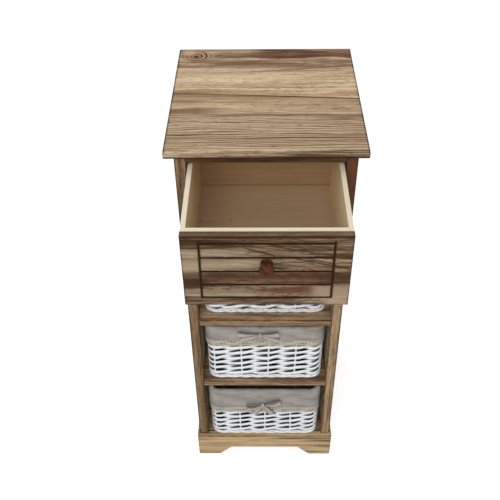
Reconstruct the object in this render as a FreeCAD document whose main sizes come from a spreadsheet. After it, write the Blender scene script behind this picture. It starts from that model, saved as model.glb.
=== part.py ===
"""Bathroom drawer unit: a narrow wooden tower with one drawer above three lined wicker baskets.

Millimetres. +Z is up, -Y is the front, and the origin is on the floor at the middle of the carcass.
The drawer stands open by drawer_open.
"""
import FreeCAD, Part
import os
import re
import Sketcher

doc = FreeCAD.newDocument("drawer_unit")

# Driving sizes: name, value, what it measures.
DRIVING = (
    ("unit_height", 787, "floor to the top of the top board"),
    ("top_width", 300, "top board, side to side"),
    ("top_depth", 318, "top board, front to back"),
    ("top_thick", 15, "top board"),
    ("top_round", 4, "round on the top board's upper and lower edges"),
    ("top_side_overhang", 14, "top board past the posts, each side"),
    ("top_front_overhang", 12, "top board past the front posts"),
    ("post_size", 18, "square section of a corner post"),
    ("post_round", 1.5, "round on a post's corners"),
    ("panel_thick", 5, "side panel"),
    ("panel_setback", 2.5, "side panel's inner face behind the posts' inner faces"),
    ("groove_depth", 5, "groove that holds a side panel's edge"),
    ("panel_play", 0.15, "room round a panel's edge in its groove"),
    ("side_rail_height", 44, "rail between two posts under the top board"),
    ("back_thick", 4, "back panel"),
    ("back_lap", 6, "back panel over the rebate of a back post"),
    ("shelf_thick", 14.5, "shelves"),
    ("upper_bay_extra", 17, "height of the bay under the drawer beyond the two below"),
    ("shelf_setback", 1, "front edges of shelves and rails behind the posts"),
    ("shelf_round", 2, "round on a shelf's front edges"),
    ("cleat_width", 10, "strip under a shelf's end"),
    ("cleat_height", 9, "strip under a shelf's end"),
    ("plinth_height", 65, "plinth boards, and top of the bottom shelf"),
    ("plinth_thick", 14, "plinth boards"),
    ("plinth_side_proud", 4.2, "plinth past the posts, each side"),
    ("plinth_front_proud", 8, "plinth past the front posts"),
    ("plinth_round", 2.5, "round on the plinth's upper and upright edges"),
    ("foot_length", 45, "bracket foot along the floor"),
    ("foot_slope", 25, "further length over which the foot's slant rises"),
    ("foot_arch", 26, "height of the cut-out between the feet"),
    ("block_size", 20, "square section of a plinth corner block"),
    ("block_clear", 8, "corner block above the floor"),
    ("top_rail_height", 14, "rails right under the top board"),
    ("top_rail_depth", 14, "rails right under the top board"),
    ("drawer_rail_height", 30, "rail under the drawer"),
    ("drawer_rail_depth", 18, "rail under the drawer"),
    ("drawer_zone", 151, "drawer rail's top to the top board's underside"),
    ("runner_width", 13.5, "strip that a drawer side slides on"),
    ("runner_height", 14, "strip that a drawer side slides on"),
    ("guide_rise", 18, "side guide above the runner"),
    ("stop_height", 12, "block that stops the drawer"),
    ("drawer_open", 160, "how far the drawer stands out"),
    ("drawer_rear_room", 23, "shut drawer's back to the posts' backs"),
    ("drawer_play", 1.5, "drawer to post, each side"),
    ("drawer_lift", 0.3, "drawer side above its runner, and drawer back off its stops"),
    ("front_thick", 12, "drawer front"),
    ("front_gap", 2, "drawer front above the drawer rail"),
    ("front_head_gap", 6, "drawer front below the top rail"),
    ("front_round", 2, "round on the drawer front's edges"),
    ("line_width", 2.8, "routed lines on the drawer front"),
    ("line_depth", 2, "routed lines on the drawer front"),
    ("line_side_inset", 24, "frame line from the front's side edge"),
    ("line_top_inset", 10, "frame line from the front's top edge"),
    ("line_foot_inset", 15, "frame line from the front's lower edge"),
    ("line_overrun", 2.5, "upright line past the top line"),
    ("slat_count", 4, "slats between the frame's lines"),
    ("box_front_thick", 10, "pale board behind the drawer front"),
    ("box_side_thick", 7, "drawer sides and drawer back"),
    ("box_drop", 2, "drawer box below the drawer front's top"),
    ("floor_thick", 3, "drawer bottom"),
    ("floor_groove", 3, "groove that holds the drawer bottom"),
    ("floor_rise", 7, "drawer bottom above the lower edge of the sides"),
    ("floor_play", 0.1, "room round the drawer bottom in its groove"),
    ("knob_diameter", 21, "head of the knob"),
    ("knob_length", 20, "knob out of the drawer front"),
    ("knob_head_length", 13, "head of the knob"),
    ("knob_base", 14, "diameter of the knob where it meets the front"),
    ("knob_neck", 9, "diameter of the knob behind its head"),
    ("knob_foot", 5, "length of the knob's tapered foot"),
    ("knob_flare", 4, "length over which the knob's head widens"),
    ("knob_dome", 6, "length of the bevels on the knob's front"),
    ("knob_drop", 47, "knob's axis below the drawer front's top"),
    ("knob_grip", 10, "knob screw's length in the knob"),
    ("bolt_diameter", 4, "knob screw's shank"),
    ("bolt_head", 8, "diameter of the knob screw's head"),
    ("bolt_head_height", 2.5, "knob screw's head"),
    ("bolt_play", 0.25, "hole round the knob screw"),
    ("tenon_length", 10, "stub tenon on a rail's end"),
    ("tenon_thick", 8, "stub tenon on a rail's end"),
    ("tenon_shoulder", 3, "rail above and below its tenon"),
    ("tenon_play", 0.15, "mortise round a tenon"),
    ("pin_size", 1.8, "square section of a headless pin"),
    ("pin_bite", 7.5, "pin's length in the second board"),
    ("pin_play", 0.1, "hole round a pin"),
    ("basket_side_room", 8, "wicker to post, each side"),
    ("basket_depth_room", 36, "depth of the carcass beyond the wicker's"),
    ("basket_head_room", 14, "wicker's rim to the shelf above"),
    ("basket_wall", 6, "wicker walls and floor"),
    ("basket_corner", 20, "round on the basket's upright corners"),
    ("basket_foot", 5, "bevel round the basket's lower edge"),
    ("basket_play", 0.3, "basket above its shelf, and cloth off the wicker"),
    ("cloth_thick", 2, "liner with its hem and folds"),
    ("lace_thick", 1.2, "lace band"),
    ("lace_drop", 17, "lace below the cuff"),
    ("bow_span", 72, "bow, side to side"),
    ("bow_loop", 18, "height of a bow's loop"),
    ("bow_knot", 9, "height and width of a bow's knot"),
    ("bow_tail", 22, "bow's tails below its knot"),
    ("bow_tail_width", 8, "ribbon at the end of a tail"),
    ("bow_thick", 4, "bow"),
    ("upper_setback", 19, "upper basket behind the posts' fronts"),
    ("middle_setback", 8, "middle basket behind the posts' fronts"),
    ("lower_setback", -2, "lower basket behind the posts' fronts"),
    ("upper_cuff", 40, "cuff of the upper basket's liner"),
    ("middle_cuff", 32, "cuff of the middle basket's liner"),
    ("lower_cuff", 50, "cuff of the lower basket's liner"),
    ("upper_bow", 10, "middle of the upper bow's knot above the hem"),
    ("middle_bow", 12, "middle of the middle bow's knot above the hem"),
    ("lower_bow", 3, "middle of the lower bow's knot above the hem"),
)

# Places and sizes that follow from the driving ones.
FOLLOWING = (
    ("carcass_half", "top_width / 2 - top_side_overhang"),
    ("carcass_depth", "top_depth - top_front_overhang"),
    ("front", "-carcass_depth / 2"),
    ("back", "carcass_depth / 2"),
    ("top_under", "unit_height - top_thick"),
    ("post_in", "carcass_half - post_size"),
    ("post_mid", "carcass_half - post_size / 2"),
    ("front_post_back", "front + post_size"),
    ("back_post_front", "back - post_size"),
    ("panel_in", "post_in + panel_setback"),
    ("groove_in", "panel_setback - panel_play"),
    ("groove_out", "panel_setback + panel_thick + panel_play"),
    ("back_in", "back - back_thick"),
    ("rail_front", "front + shelf_setback"),
    ("front_tenon", "front + (post_size - groove_depth) / 2"),
    ("back_tenon", "back_in - top_rail_depth / 2"),
    ("side_rail_under", "top_under - side_rail_height"),
    ("top_rail_under", "top_under - top_rail_height"),
    ("drawer_rail_top", "top_under - drawer_zone"),
    ("drawer_rail_under", "drawer_rail_top - drawer_rail_height"),
    ("drawer_rail_back", "rail_front + drawer_rail_depth"),
    ("runner_under", "drawer_rail_top - runner_height"),
    ("shelf_pitch", "(drawer_rail_under - plinth_height + shelf_thick - upper_bay_extra) / 3"),
    ("shelf_half", "panel_in - panel_play"),
    ("lower_shelf_top", "plinth_height + shelf_pitch"),
    ("upper_shelf_top", "plinth_height + 2 * shelf_pitch"),
    ("plinth_half", "carcass_half + plinth_side_proud"),
    ("plinth_front", "front - plinth_front_proud"),
    ("plinth_front_in", "plinth_front + plinth_thick"),
    ("plinth_side_in", "plinth_half - plinth_thick"),
    ("drawer_half", "post_in - drawer_play"),
    ("drawer_length", "carcass_depth - drawer_rear_room"),
    ("front_height", "drawer_zone - top_rail_height - front_gap - front_head_gap"),
    ("drawer_face", "front - drawer_open"),
    ("drawer_front_in", "drawer_face + front_thick"),
    ("box_front_in", "drawer_front_in + box_front_thick"),
    ("drawer_end", "drawer_face + drawer_length"),
    ("drawer_back_in", "drawer_end - box_side_thick"),
    ("box_half", "drawer_half - box_side_thick"),
    ("front_under", "drawer_rail_top + front_gap"),
    ("front_top", "front_under + front_height"),
    ("box_under", "drawer_rail_top + drawer_lift"),
    ("box_top", "front_top - box_drop"),
    ("floor_under", "box_under + floor_rise"),
    ("floor_top", "floor_under + floor_thick"),
    ("knob_height", "front_top - knob_drop"),
    ("basket_width", "2 * (post_in - basket_side_room)"),
    ("basket_depth", "carcass_depth - basket_depth_room"),
    ("basket_height", "shelf_pitch - shelf_thick - basket_head_room"),
    ("cuff_out", "basket_play + cloth_thick"),
    ("lining_out", "basket_wall + basket_play"),
    ("lining_in", "lining_out + cloth_thick"),
)

SIDES = (("left", -1), ("right", 1))
ENDS = ("front", "back")
PINS_PER_POST = 4

sizes = doc.addObject("Spreadsheet::Sheet", "Sizes")
places = doc.addObject("Spreadsheet::Sheet", "Places")
homes = {}
nodes = []


def cells(expression):
    """The expression with each size or place written as a reference to its sheet."""
    return re.sub(r"[a-z][a-z_]*", lambda word: homes.get(word[0], word[0]), expression)


def fill_sheets():
    """Write the driving sizes as plain numbers and the following ones as formulas."""
    for row, (name, number, meaning) in enumerate(DRIVING, 1):
        sizes.set(f"A{row}", meaning)
        sizes.set(f"B{row}", str(number))
        sizes.setAlias(f"B{row}", name)
        homes[name] = f"Sizes.{name}"
    doc.recompute()
    for row, (name, formula) in enumerate(FOLLOWING, 1):
        places.set(f"B{row}", "=" + cells(formula))
        places.setAlias(f"B{row}", name)
    doc.recompute()
    for name, _ in FOLLOWING:
        homes[name] = f"Places.{name}"


def value(expression):
    """The number that an expression of sizes and places gives."""
    return float(sizes.evalExpression(cells(expression)))


def bind(thing, **expressions):
    """Tie properties of an object to expressions; x, y and z are its place."""
    for name, expression in expressions.items():
        path = f"Placement.Base.{name}" if name in ("x", "y", "z") else name
        thing.setExpression(path, cells(expression))


def node(thing):
    """Mark an object as one of the pieces that are written out."""
    nodes.append(thing)
    return thing


def board(label, x, y, z):
    """A straight board between two places on each axis."""
    box = doc.addObject("Part::Box", label)
    bind(box, x=x[0], y=y[0], z=z[0])
    bind(box, Length=f"{x[1]} - ({x[0]})", Width=f"{y[1]} - ({y[0]})", Height=f"{z[1]} - ({z[0]})")
    return box


def mirrored(sign, inner, outer):
    """The two places of a piece on the left or right, lower one first."""
    return (inner, outer) if sign > 0 else (f"-({outer})", f"-({inner})")


def body_at(label, x, y, z):
    """An empty body whose own origin lies at the given place."""
    body = doc.addObject("PartDesign::Body", label)
    bind(body, x=x, y=y, z=z)
    return body


def sketch_on(body, name, role, height="0"):
    """A sketch on one of the body's origin planes, raised along the plane's normal."""
    sketch = body.newObject("Sketcher::SketchObject", f"{body.Name}_{name}")
    plane = next(item for item in body.Origin.OriginFeatures if item.Role == role)
    sketch.AttachmentSupport = [(plane, "")]
    sketch.MapMode = "FlatFace"
    sketch.setExpression("AttachmentOffset.Base.z", cells(height))
    return sketch


def hold(sketch, kind, edge, expression):
    """Tie the start of an edge to a distance from the sketch's origin."""
    if expression == "0":
        axis = -2 if kind == "DistanceX" else -1
        sketch.addConstraint(Sketcher.Constraint("PointOnObject", edge, 1, axis))
        return
    index = sketch.addConstraint(Sketcher.Constraint(kind, -1, 1, edge, 1, value(expression)))
    sketch.setExpression(f"Constraints[{index}]", cells(expression))


def outline(sketch, points):
    """A closed outline of straight edges through points to the right of and above the origin."""
    corners = [FreeCAD.Vector(value(x), value(y), 0) for x, y in points]
    first = sketch.GeometryCount
    count = len(corners)
    for i in range(count):
        sketch.addGeometry(Part.LineSegment(corners[i], corners[(i + 1) % count]))
    for i, (x, y) in enumerate(points):
        following = first + (i + 1) % count
        sketch.addConstraint(Sketcher.Constraint("Coincident", first + i, 2, following, 1))
        hold(sketch, "DistanceX", first + i, x)
        hold(sketch, "DistanceY", first + i, y)


def rectangle(sketch, x, y):
    """A rectangle between two places on each axis of the sketch."""
    outline(sketch, ((x[0], y[0]), (x[1], y[0]), (x[1], y[1]), (x[0], y[1])))


def round_rectangle(sketch, width, depth, radius):
    """A rectangle with round corners about the sketch's origin."""
    half_w = value(width) / 2
    half_d = value(depth) / 2
    r = value(radius)
    first = sketch.GeometryCount
    up = FreeCAD.Vector(0, 0, 1)
    quarter = 1.5707963267948966
    turns = ((1, -1), (1, 1), (-1, 1), (-1, -1))
    for i, (sx, sy) in enumerate(turns):
        before = turns[i - 1]
        level = i % 2 == 0
        start = FreeCAD.Vector(before[0] * (half_w - r * level), before[1] * (half_d - r * (not level)), 0)
        end = FreeCAD.Vector(sx * (half_w - r * level), sy * (half_d - r * (not level)), 0)
        sketch.addGeometry(Part.LineSegment(start, end))
        middle = FreeCAD.Vector(sx * (half_w - r), sy * (half_d - r), 0)
        circle = Part.Circle(middle, up, r)
        sketch.addGeometry(Part.ArcOfCircle(circle, (i - 1) * quarter, i * quarter))
    for i in range(8):
        sketch.addConstraint(Sketcher.Constraint("Tangent", first + i, 2, first + (i + 1) % 8, 1))
    for i in (0, 4):
        sketch.addConstraint(Sketcher.Constraint("Horizontal", first + i))
        sketch.addConstraint(Sketcher.Constraint("Vertical", first + i + 2))
    for i in (1, 3, 5):
        sketch.addConstraint(Sketcher.Constraint("Equal", first + i, first + i + 2))
    sketch.addConstraint(Sketcher.Constraint("Symmetric", first + 1, 3, first + 5, 3, -1, 1))
    measures = (
        (Sketcher.Constraint("Radius", first + 1, r), radius),
        (Sketcher.Constraint("DistanceX", first + 6, 1, first + 2, 1, 2 * half_w), width),
        (Sketcher.Constraint("DistanceY", first, 1, first + 4, 1, 2 * half_d), depth),
    )
    for constraint, expression in measures:
        index = sketch.addConstraint(constraint)
        sketch.setExpression(f"Constraints[{index}]", cells(expression))


def pad(body, sketch, length, reverse=False):
    """Extrude a sketch along its normal, or against it."""
    feature = body.newObject("PartDesign::Pad", f"{sketch.Name}_pad")
    feature.Profile = sketch
    feature.Reversed = reverse
    bind(feature, Length=length)
    doc.recompute()
    return feature


def pocket(body, sketch, depth, reverse=False):
    """Cut a sketch against its normal, or along it."""
    feature = body.newObject("PartDesign::Pocket", f"{sketch.Name}_pocket")
    feature.Profile = sketch
    feature.Reversed = reverse
    bind(feature, Length=depth)
    doc.recompute()
    return feature


def picked(body, chosen):
    """The body's last feature, with the names of the edges that the test picks."""
    base = body.Tip
    return base, [f"Edge{n}" for n, edge in enumerate(base.Shape.Edges, 1) if chosen(edge.BoundBox)]


def round_edges(body, name, radius, chosen):
    """Round the edges of a body that the test picks."""
    base = picked(body, chosen)
    feature = body.newObject("PartDesign::Fillet", f"{body.Name}_{name}")
    feature.Base = base
    bind(feature, Radius=radius)
    doc.recompute()


def bevel_edges(body, name, size, chosen):
    """Bevel the edges of a body that the test picks."""
    base = picked(body, chosen)
    feature = body.newObject("PartDesign::Chamfer", f"{body.Name}_{name}")
    feature.Base = base
    bind(feature, Size=size)
    doc.recompute()


def near(a, b):
    """Whether two lengths agree closely enough to be the same edge's place."""
    return abs(a - b) < 0.001


def rod(label, place, diameter, length):
    """A round bar along Y, centred on a place."""
    x, y, z = place
    bar = doc.addObject("Part::Cylinder", label)
    bar.Placement.Rotation = FreeCAD.Rotation(FreeCAD.Vector(1, 0, 0), -90)
    bind(bar, Radius=f"({diameter}) / 2", Height=length, x=x, y=f"{y} - ({length}) / 2", z=z)
    return bar


def group(label, pieces):
    """Several like pieces as one node."""
    together = doc.addObject("Part::Compound", label)
    together.Links = pieces
    return together


def drilled(label, blank, holes):
    """The blank with its holes cut out."""
    cut = doc.addObject("Part::Cut", label)
    cut.Base = blank
    cut.Tool = group(f"{label}_holes", holes) if len(holes) > 1 else holes[0]
    return cut


class Pins:
    """Headless square pins that are one node, each with the hole that it sits in."""

    def __init__(self, label):
        self.label = label
        self.pieces = []

    def add(self, axis, place, length):
        """Set one pin along an axis, centred on a place, and give back the tool that cuts its hole."""
        name = f"{self.label}_{len(self.pieces) + 1}"
        self.pieces.append(bar(name, axis, place, length, "pin_size"))
        return bar(f"{name}_hole", axis, place, length, "pin_size + 2 * pin_play")


def bar(label, axis, place, length, thick):
    """A square bar along an axis, centred on a place."""
    spans = []
    for letter, middle in zip("xyz", place):
        half = f"({length if letter == axis else thick}) / 2"
        spans.append((f"{middle} - {half}", f"{middle} + {half}"))
    return board(label, *spans)


def tenoned(label, rail, tenon):
    """A rail with the bar that shows at its two ends as tenons; each is given by its spans."""
    whole = doc.addObject("Part::Fuse", label)
    whole.Base = rail
    whole.Tool = board(f"{label}_tenons", *tenon)
    return whole


def mortise(label, tenon):
    """The hollow that takes a tenon, with room all round."""
    return board(label, *((f"{low} - tenon_play", f"{high} + tenon_play") for low, high in tenon))


def top_board(holes):
    """The top board, rounded along its upper and lower edges."""
    body = body_at("top_panel_blank", "-top_width / 2", "back - top_depth", "top_under")
    plan = sketch_on(body, "plan", "XY_Plane")
    rectangle(plan, ("0", "top_width"), ("0", "top_depth"))
    pad(body, plan, "top_thick")
    round_edges(body, "round", "top_round", lambda box: near(box.ZLength, 0))
    node(drilled("top_panel", body, holes))


def groove(sign):
    """The two faces of a side panel's groove, measured across a post or rail from its lower x face."""
    return ("groove_in", "groove_out") if sign > 0 else ("post_size - groove_out", "post_size - groove_in")


def post(label, x, y, end, sign, holes):
    """A corner post: grooved for a side panel and, at the back, rebated for the back panel."""
    body = body_at(f"{label}_blank", x, y, "plinth_height")
    section = sketch_on(body, "section", "XY_Plane")
    low, high = groove(sign)
    if end == "front":
        notch = "post_size - groove_depth"
        points = (
            ("0", "0"), ("post_size", "0"), ("post_size", "post_size"), (high, "post_size"),
            (high, notch), (low, notch), (low, "post_size"), ("0", "post_size"),
        )
    else:
        ledge = "post_size - back_thick"
        step = "post_size - back_lap"
        points = (("0", "0"), (low, "0"), (low, "groove_depth"), (high, "groove_depth"), (high, "0"))
        if sign > 0:
            points += (
                ("post_size", "0"), ("post_size", "post_size"), ("back_lap", "post_size"),
                ("back_lap", ledge), ("0", ledge),
            )
        else:
            points += (
                ("post_size", "0"), ("post_size", ledge), (step, ledge), (step, "post_size"),
                ("0", "post_size"),
            )
    outline(section, points)
    pad(body, section, "top_under - plinth_height")
    faces = (0.0, value("post_size"))

    def corner(box):
        at_x = any(near(box.XMin, face) and near(box.XMax, face) for face in faces)
        at_y = any(near(box.YMin, face) and near(box.YMax, face) for face in faces)
        return at_x and at_y

    round_edges(body, "round", "post_round", corner)
    node(drilled(label, body, holes))


def side_rail(label, sign, tenon):
    """The rail over a side panel, grooved underneath for the panel's upper edge."""
    low_x = mirrored(sign, "post_in", "carcass_half")[0]
    body = body_at(f"{label}_bar", low_x, "front_post_back", "side_rail_under")
    section = sketch_on(body, "section", "XZ_Plane")
    low, high = groove(sign)
    outline(section, (
        ("0", "0"), (low, "0"), (low, "groove_depth"), (high, "groove_depth"), (high, "0"),
        ("post_size", "0"), ("post_size", "side_rail_height"), ("0", "side_rail_height"),
    ))
    pad(body, section, "back_post_front - front_post_back", reverse=True)
    node(tenoned(label, body, tenon))


def shelf(label, top, holes):
    """A shelf, notched round the four posts and rounded along its front edges."""
    body = body_at(f"{label}_blank", "-shelf_half", "rail_front", f"{top} - shelf_thick")
    plan = sketch_on(body, "plan", "XY_Plane")
    near_x = "shelf_half - post_in + panel_play"
    far_x = "shelf_half + post_in - panel_play"
    near_y = "front_post_back + panel_play - rail_front"
    far_y = "back_post_front - panel_play - rail_front"
    full_x = "2 * shelf_half"
    full_y = "back_in - rail_front"
    outline(plan, (
        (near_x, "0"), (far_x, "0"), (far_x, near_y), (full_x, near_y),
        (full_x, far_y), (far_x, far_y), (far_x, full_y), (near_x, full_y),
        (near_x, far_y), ("0", far_y), ("0", near_y), (near_x, near_y),
    ))
    pad(body, plan, "shelf_thick")
    reach = value(far_x) - value(near_x)
    round_edges(body, "round", "shelf_round", lambda box: near(box.YMax, 0) and near(box.XLength, reach))
    node(drilled(label, body, holes))


def bracket_outline(sketch, length, lead):
    """A plinth board's outline, with a foot at each end; lead shortens the first foot."""
    first_foot = f"foot_length - ({lead})"
    last_foot = f"{length} - foot_length"
    outline(sketch, (
        ("0", "0"), (first_foot, "0"), (f"{first_foot} + foot_slope", "foot_arch"),
        (f"{last_foot} - foot_slope", "foot_arch"), (last_foot, "0"), (length, "0"),
        (length, "plinth_height"), ("0", "plinth_height"),
    ))


def plinth():
    """Three plinth boards on bracket feet, with blocks in their corners under the bottom shelf."""
    tall = value("plinth_height")
    front_board = node(body_at("plinth_front", "-plinth_half", "plinth_front", "0"))
    face = sketch_on(front_board, "face", "XZ_Plane")
    bracket_outline(face, "2 * plinth_half", "0")
    pad(front_board, face, "plinth_thick", reverse=True)
    width = value("2 * plinth_half")

    def outer_edge(box):
        upper = near(box.ZMin, tall) and near(box.XLength, width)
        upright = near(box.ZLength, tall) and near(box.YMax, 0)
        return near(box.YMax, 0) and (upper or upright)

    round_edges(front_board, "round", "plinth_round", outer_edge)
    length = "back - plinth_front_in"
    for side, sign in SIDES:
        low_x = mirrored(sign, "plinth_side_in", "plinth_half")[0]
        side_board = node(body_at(f"plinth_{side}", low_x, "plinth_front_in", "0"))
        face = sketch_on(side_board, "face", "YZ_Plane")
        bracket_outline(face, length, "plinth_thick")
        pad(side_board, face, "plinth_thick")
        outer_x = value("plinth_thick") if sign > 0 else 0
        run = value(length)

        def upper_edge(box):
            return near(box.ZMin, tall) and near(box.YLength, run) and near(box.XMax, outer_x)

        round_edges(side_board, "round", "plinth_round", upper_edge)
        x = mirrored(sign, "plinth_side_in - block_size", "plinth_side_in")
        z = ("block_clear", "plinth_height - shelf_thick")
        node(board(f"corner_block_front_{side}", x, ("plinth_front_in", "plinth_front_in + block_size"), z))
        node(board(f"corner_block_back_{side}", x, ("back_in - block_size", "back_in"), z))
    inset = "plinth_side_in - panel_play"
    node(board(
        "bottom_shelf", (f"-({inset})", inset), ("plinth_front_in + panel_play", "back_in"),
        ("plinth_height - shelf_thick", "plinth_height"),
    ))


def cross_rails(post_holes, pins):
    """Rails from side to side, tenoned into the posts; gives the pin holes of the top board."""
    under_top = ("top_rail_under", "top_under")
    length = "top_rail_height + pin_bite"
    rows = (
        ("top_rail_front", ("rail_front", "rail_front + top_rail_depth"), under_top),
        ("top_rail_back", ("back_in - top_rail_depth", "back_in"), under_top),
        ("drawer_rail", ("rail_front", "drawer_rail_back"), ("drawer_rail_under", "drawer_rail_top")),
    )
    top_holes = []
    for label, y, z in rows:
        end = "front" if y[0] == "rail_front" else "back"
        middle = "front_tenon" if end == "front" else "back_tenon"
        tenon = (
            ("-post_in - tenon_length", "post_in + tenon_length"),
            (f"{middle} - tenon_thick / 2", f"{middle} + tenon_thick / 2"),
            (f"{z[0]} + tenon_shoulder", f"{z[1]} - tenon_shoulder"),
        )
        hollow = mortise(f"{label}_mortises", tenon)
        for side, _ in SIDES:
            post_holes[end, side].append(hollow)
        rail = board(f"{label}_bar", ("-post_in", "post_in"), y, z)
        if z != under_top:
            node(tenoned(label, rail, tenon))
            continue
        holes = []
        for _, sign in SIDES:
            place = (f"{sign} * post_in / 2", middle, f"top_rail_under + ({length}) / 2")
            holes.append(pins.add("z", place, length))
        node(drilled(label, tenoned(f"{label}_blank", rail, tenon), holes))
        top_holes += holes
    return top_holes


def side_frames(post_holes):
    """A tenoned rail and a panel in its grooves on each side."""
    for side, sign in SIDES:
        tenon = (
            (f"{sign} * post_mid - tenon_thick / 2", f"{sign} * post_mid + tenon_thick / 2"),
            ("front_post_back - tenon_length", "back_post_front + tenon_length"),
            ("side_rail_under + groove_depth + tenon_shoulder", "top_rail_under - tenon_shoulder"),
        )
        hollow = mortise(f"side_rail_{side}_mortises", tenon)
        for end in ENDS:
            post_holes[end, side].append(hollow)
        side_rail(f"side_rail_{side}", sign, tenon)
        node(board(
            f"side_panel_{side}", mirrored(sign, "panel_in", "panel_in + panel_thick"),
            ("front_post_back - groove_depth + panel_play", "back_post_front + groove_depth - panel_play"),
            ("plinth_height", "side_rail_under + groove_depth - panel_play"),
        ))


def back_sheet(post_holes, pins):
    """The back panel, pinned into the rebates of the back posts."""
    holes = []
    for side, sign in SIDES:
        for i in range(PINS_PER_POST):
            share = f"{2 * i + 1} / {2 * PINS_PER_POST}"
            level = f"plinth_height + (top_under - plinth_height) * {share}"
            place = (f"{sign} * (post_in + back_lap / 2)", "back - (back_thick + pin_bite) / 2", level)
            hole = pins.add("y", place, "back_thick + pin_bite")
            holes.append(hole)
            post_holes["back", side].append(hole)
    half = "(post_in + back_lap - panel_play)"
    sheet = board(
        "back_panel_blank", (f"-{half}", half), ("back_in", "back"),
        ("plinth_height - shelf_thick", "top_under"),
    )
    node(drilled("back_panel", sheet, holes))


def shelves(pins):
    """The two upper shelves, pinned to cleats on the side panels."""
    for name, top in (("upper", "upper_shelf_top"), ("lower", "lower_shelf_top")):
        under = f"{top} - shelf_thick"
        length = "cleat_height + pin_bite"
        shelf_holes = []
        for side, sign in SIDES:
            label = f"shelf_cleat_{name}_{side}"
            x = f"{sign} * (panel_in - cleat_width / 2)"
            z = f"{under} - cleat_height + ({length}) / 2"
            holes = [pins.add("z", (x, f"{end} * carcass_depth / 4", z), length) for end in (-1, 1)]
            strip = board(
                f"{label}_blank", mirrored(sign, "panel_in - cleat_width", "panel_in"),
                ("front_post_back", "back_post_front"), (f"{under} - cleat_height", under),
            )
            node(drilled(label, strip, holes))
            shelf_holes += holes
        shelf(f"shelf_{name}", top, shelf_holes)


def carcass():
    """Posts, panels, rails, shelves and the top board, with their pins."""
    top_pins = Pins("top_pins")
    shelf_pins = Pins("shelf_pins")
    back_pins = Pins("back_pins")
    post_holes = {(end, side): [] for end in ENDS for side, _ in SIDES}
    top_board(cross_rails(post_holes, top_pins))
    side_frames(post_holes)
    back_sheet(post_holes, back_pins)
    for side, sign in SIDES:
        x = mirrored(sign, "post_in", "carcass_half")[0]
        for end, y in zip(ENDS, ("front", "back_post_front")):
            post(f"post_{end}_{side}", x, y, end, sign, post_holes[end, side])
    shelves(shelf_pins)
    for pins in (top_pins, shelf_pins, back_pins):
        node(group(pins.label, pins.pieces))


def drawer_slides():
    """Runners that carry the drawer's sides, guides beside them and stops behind."""
    for side, sign in SIDES:
        node(board(
            f"drawer_runner_{side}", mirrored(sign, "post_in - runner_width", "post_in"),
            ("drawer_rail_back", "back_in"), ("runner_under", "drawer_rail_top"),
        ))
        node(board(
            f"drawer_guide_{side}", mirrored(sign, "post_in", "panel_in"),
            ("front_post_back", "back_post_front"), ("runner_under", "drawer_rail_top + guide_rise"),
        ))
        node(board(
            f"drawer_stop_{side}", mirrored(sign, "post_in - runner_width", "drawer_half"),
            ("front + drawer_length + drawer_lift", "back_in"),
            ("drawer_rail_top", "drawer_rail_top + stop_height"),
        ))


def drawer_front(holes):
    """The inset front, with a routed frame and the lines between its slats."""
    body = body_at("drawer_front_blank", "-drawer_half", "drawer_face", "front_under")
    face = sketch_on(body, "face", "XZ_Plane")
    rectangle(face, ("0", "2 * drawer_half"), ("0", "front_height"))
    pad(body, face, "front_thick", reverse=True)
    round_edges(body, "round", "front_round", lambda box: near(box.YMax, 0))
    left = "line_side_inset"
    right = "2 * drawer_half - line_side_inset"
    foot = "line_foot_inset"
    head = "front_height - line_top_inset"
    uprights = sketch_on(body, "uprights", "XZ_Plane")
    rectangle(uprights, (left, f"{left} + line_width"), (foot, f"{head} + line_overrun"))
    rectangle(uprights, (f"{right} - line_width", right), (foot, f"{head} + line_overrun"))
    pocket(body, uprights, "line_depth")
    line = sketch_on(body, "line", "XZ_Plane")
    rectangle(line, (f"{left} + line_width", f"{right} - line_width"), (foot, f"{foot} + line_width"))
    first_line = pocket(body, line, "line_depth")
    lines = body.newObject("PartDesign::LinearPattern", "drawer_front_lines")
    lines.Originals = [first_line]
    lines.Direction = (line, ["V_Axis"])
    bind(lines, Length=f"{head} - line_width - ({foot})", Occurrences="slat_count + 1")
    body.Tip = lines
    doc.recompute()
    node(drilled("drawer_front", body, holes))


def drawer_side(label, sign, holes):
    """A drawer side, grooved on its inner face for the drawer bottom."""
    low_x = mirrored(sign, "box_half", "drawer_half")[0]
    body = body_at(f"{label}_blank", low_x, "drawer_front_in", "box_under")
    section = sketch_on(body, "section", "XZ_Plane")
    low = "floor_rise - floor_play"
    high = "floor_rise + floor_thick + floor_play"
    tall = "box_top - box_under"
    wide = "box_side_thick"
    if sign > 0:
        deep = "floor_groove"
        points = (
            ("0", "0"), (wide, "0"), (wide, tall), ("0", tall),
            ("0", high), (deep, high), (deep, low), ("0", low),
        )
    else:
        deep = "box_side_thick - floor_groove"
        points = (
            ("0", "0"), (wide, "0"), (wide, low), (deep, low),
            (deep, high), (wide, high), (wide, tall), ("0", tall),
        )
    outline(section, points)
    pad(body, section, "drawer_end - drawer_front_in", reverse=True)
    node(drilled(label, body, holes))


def box_front(holes):
    """The pale board behind the drawer front, grooved for the drawer bottom."""
    body = body_at("drawer_box_front_blank", "-box_half", "drawer_front_in", "box_under")
    section = sketch_on(body, "section", "YZ_Plane")
    low = "floor_rise - floor_play"
    high = "floor_rise + floor_thick + floor_play"
    tall = "box_top - box_under"
    deep = "box_front_thick - floor_groove"
    wide = "box_front_thick"
    outline(section, (
        ("0", "0"), (wide, "0"), (wide, low), (deep, low),
        (deep, high), (wide, high), (wide, tall), ("0", tall),
    ))
    pad(body, section, "2 * box_half")
    node(drilled("drawer_box_front", body, holes))


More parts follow.
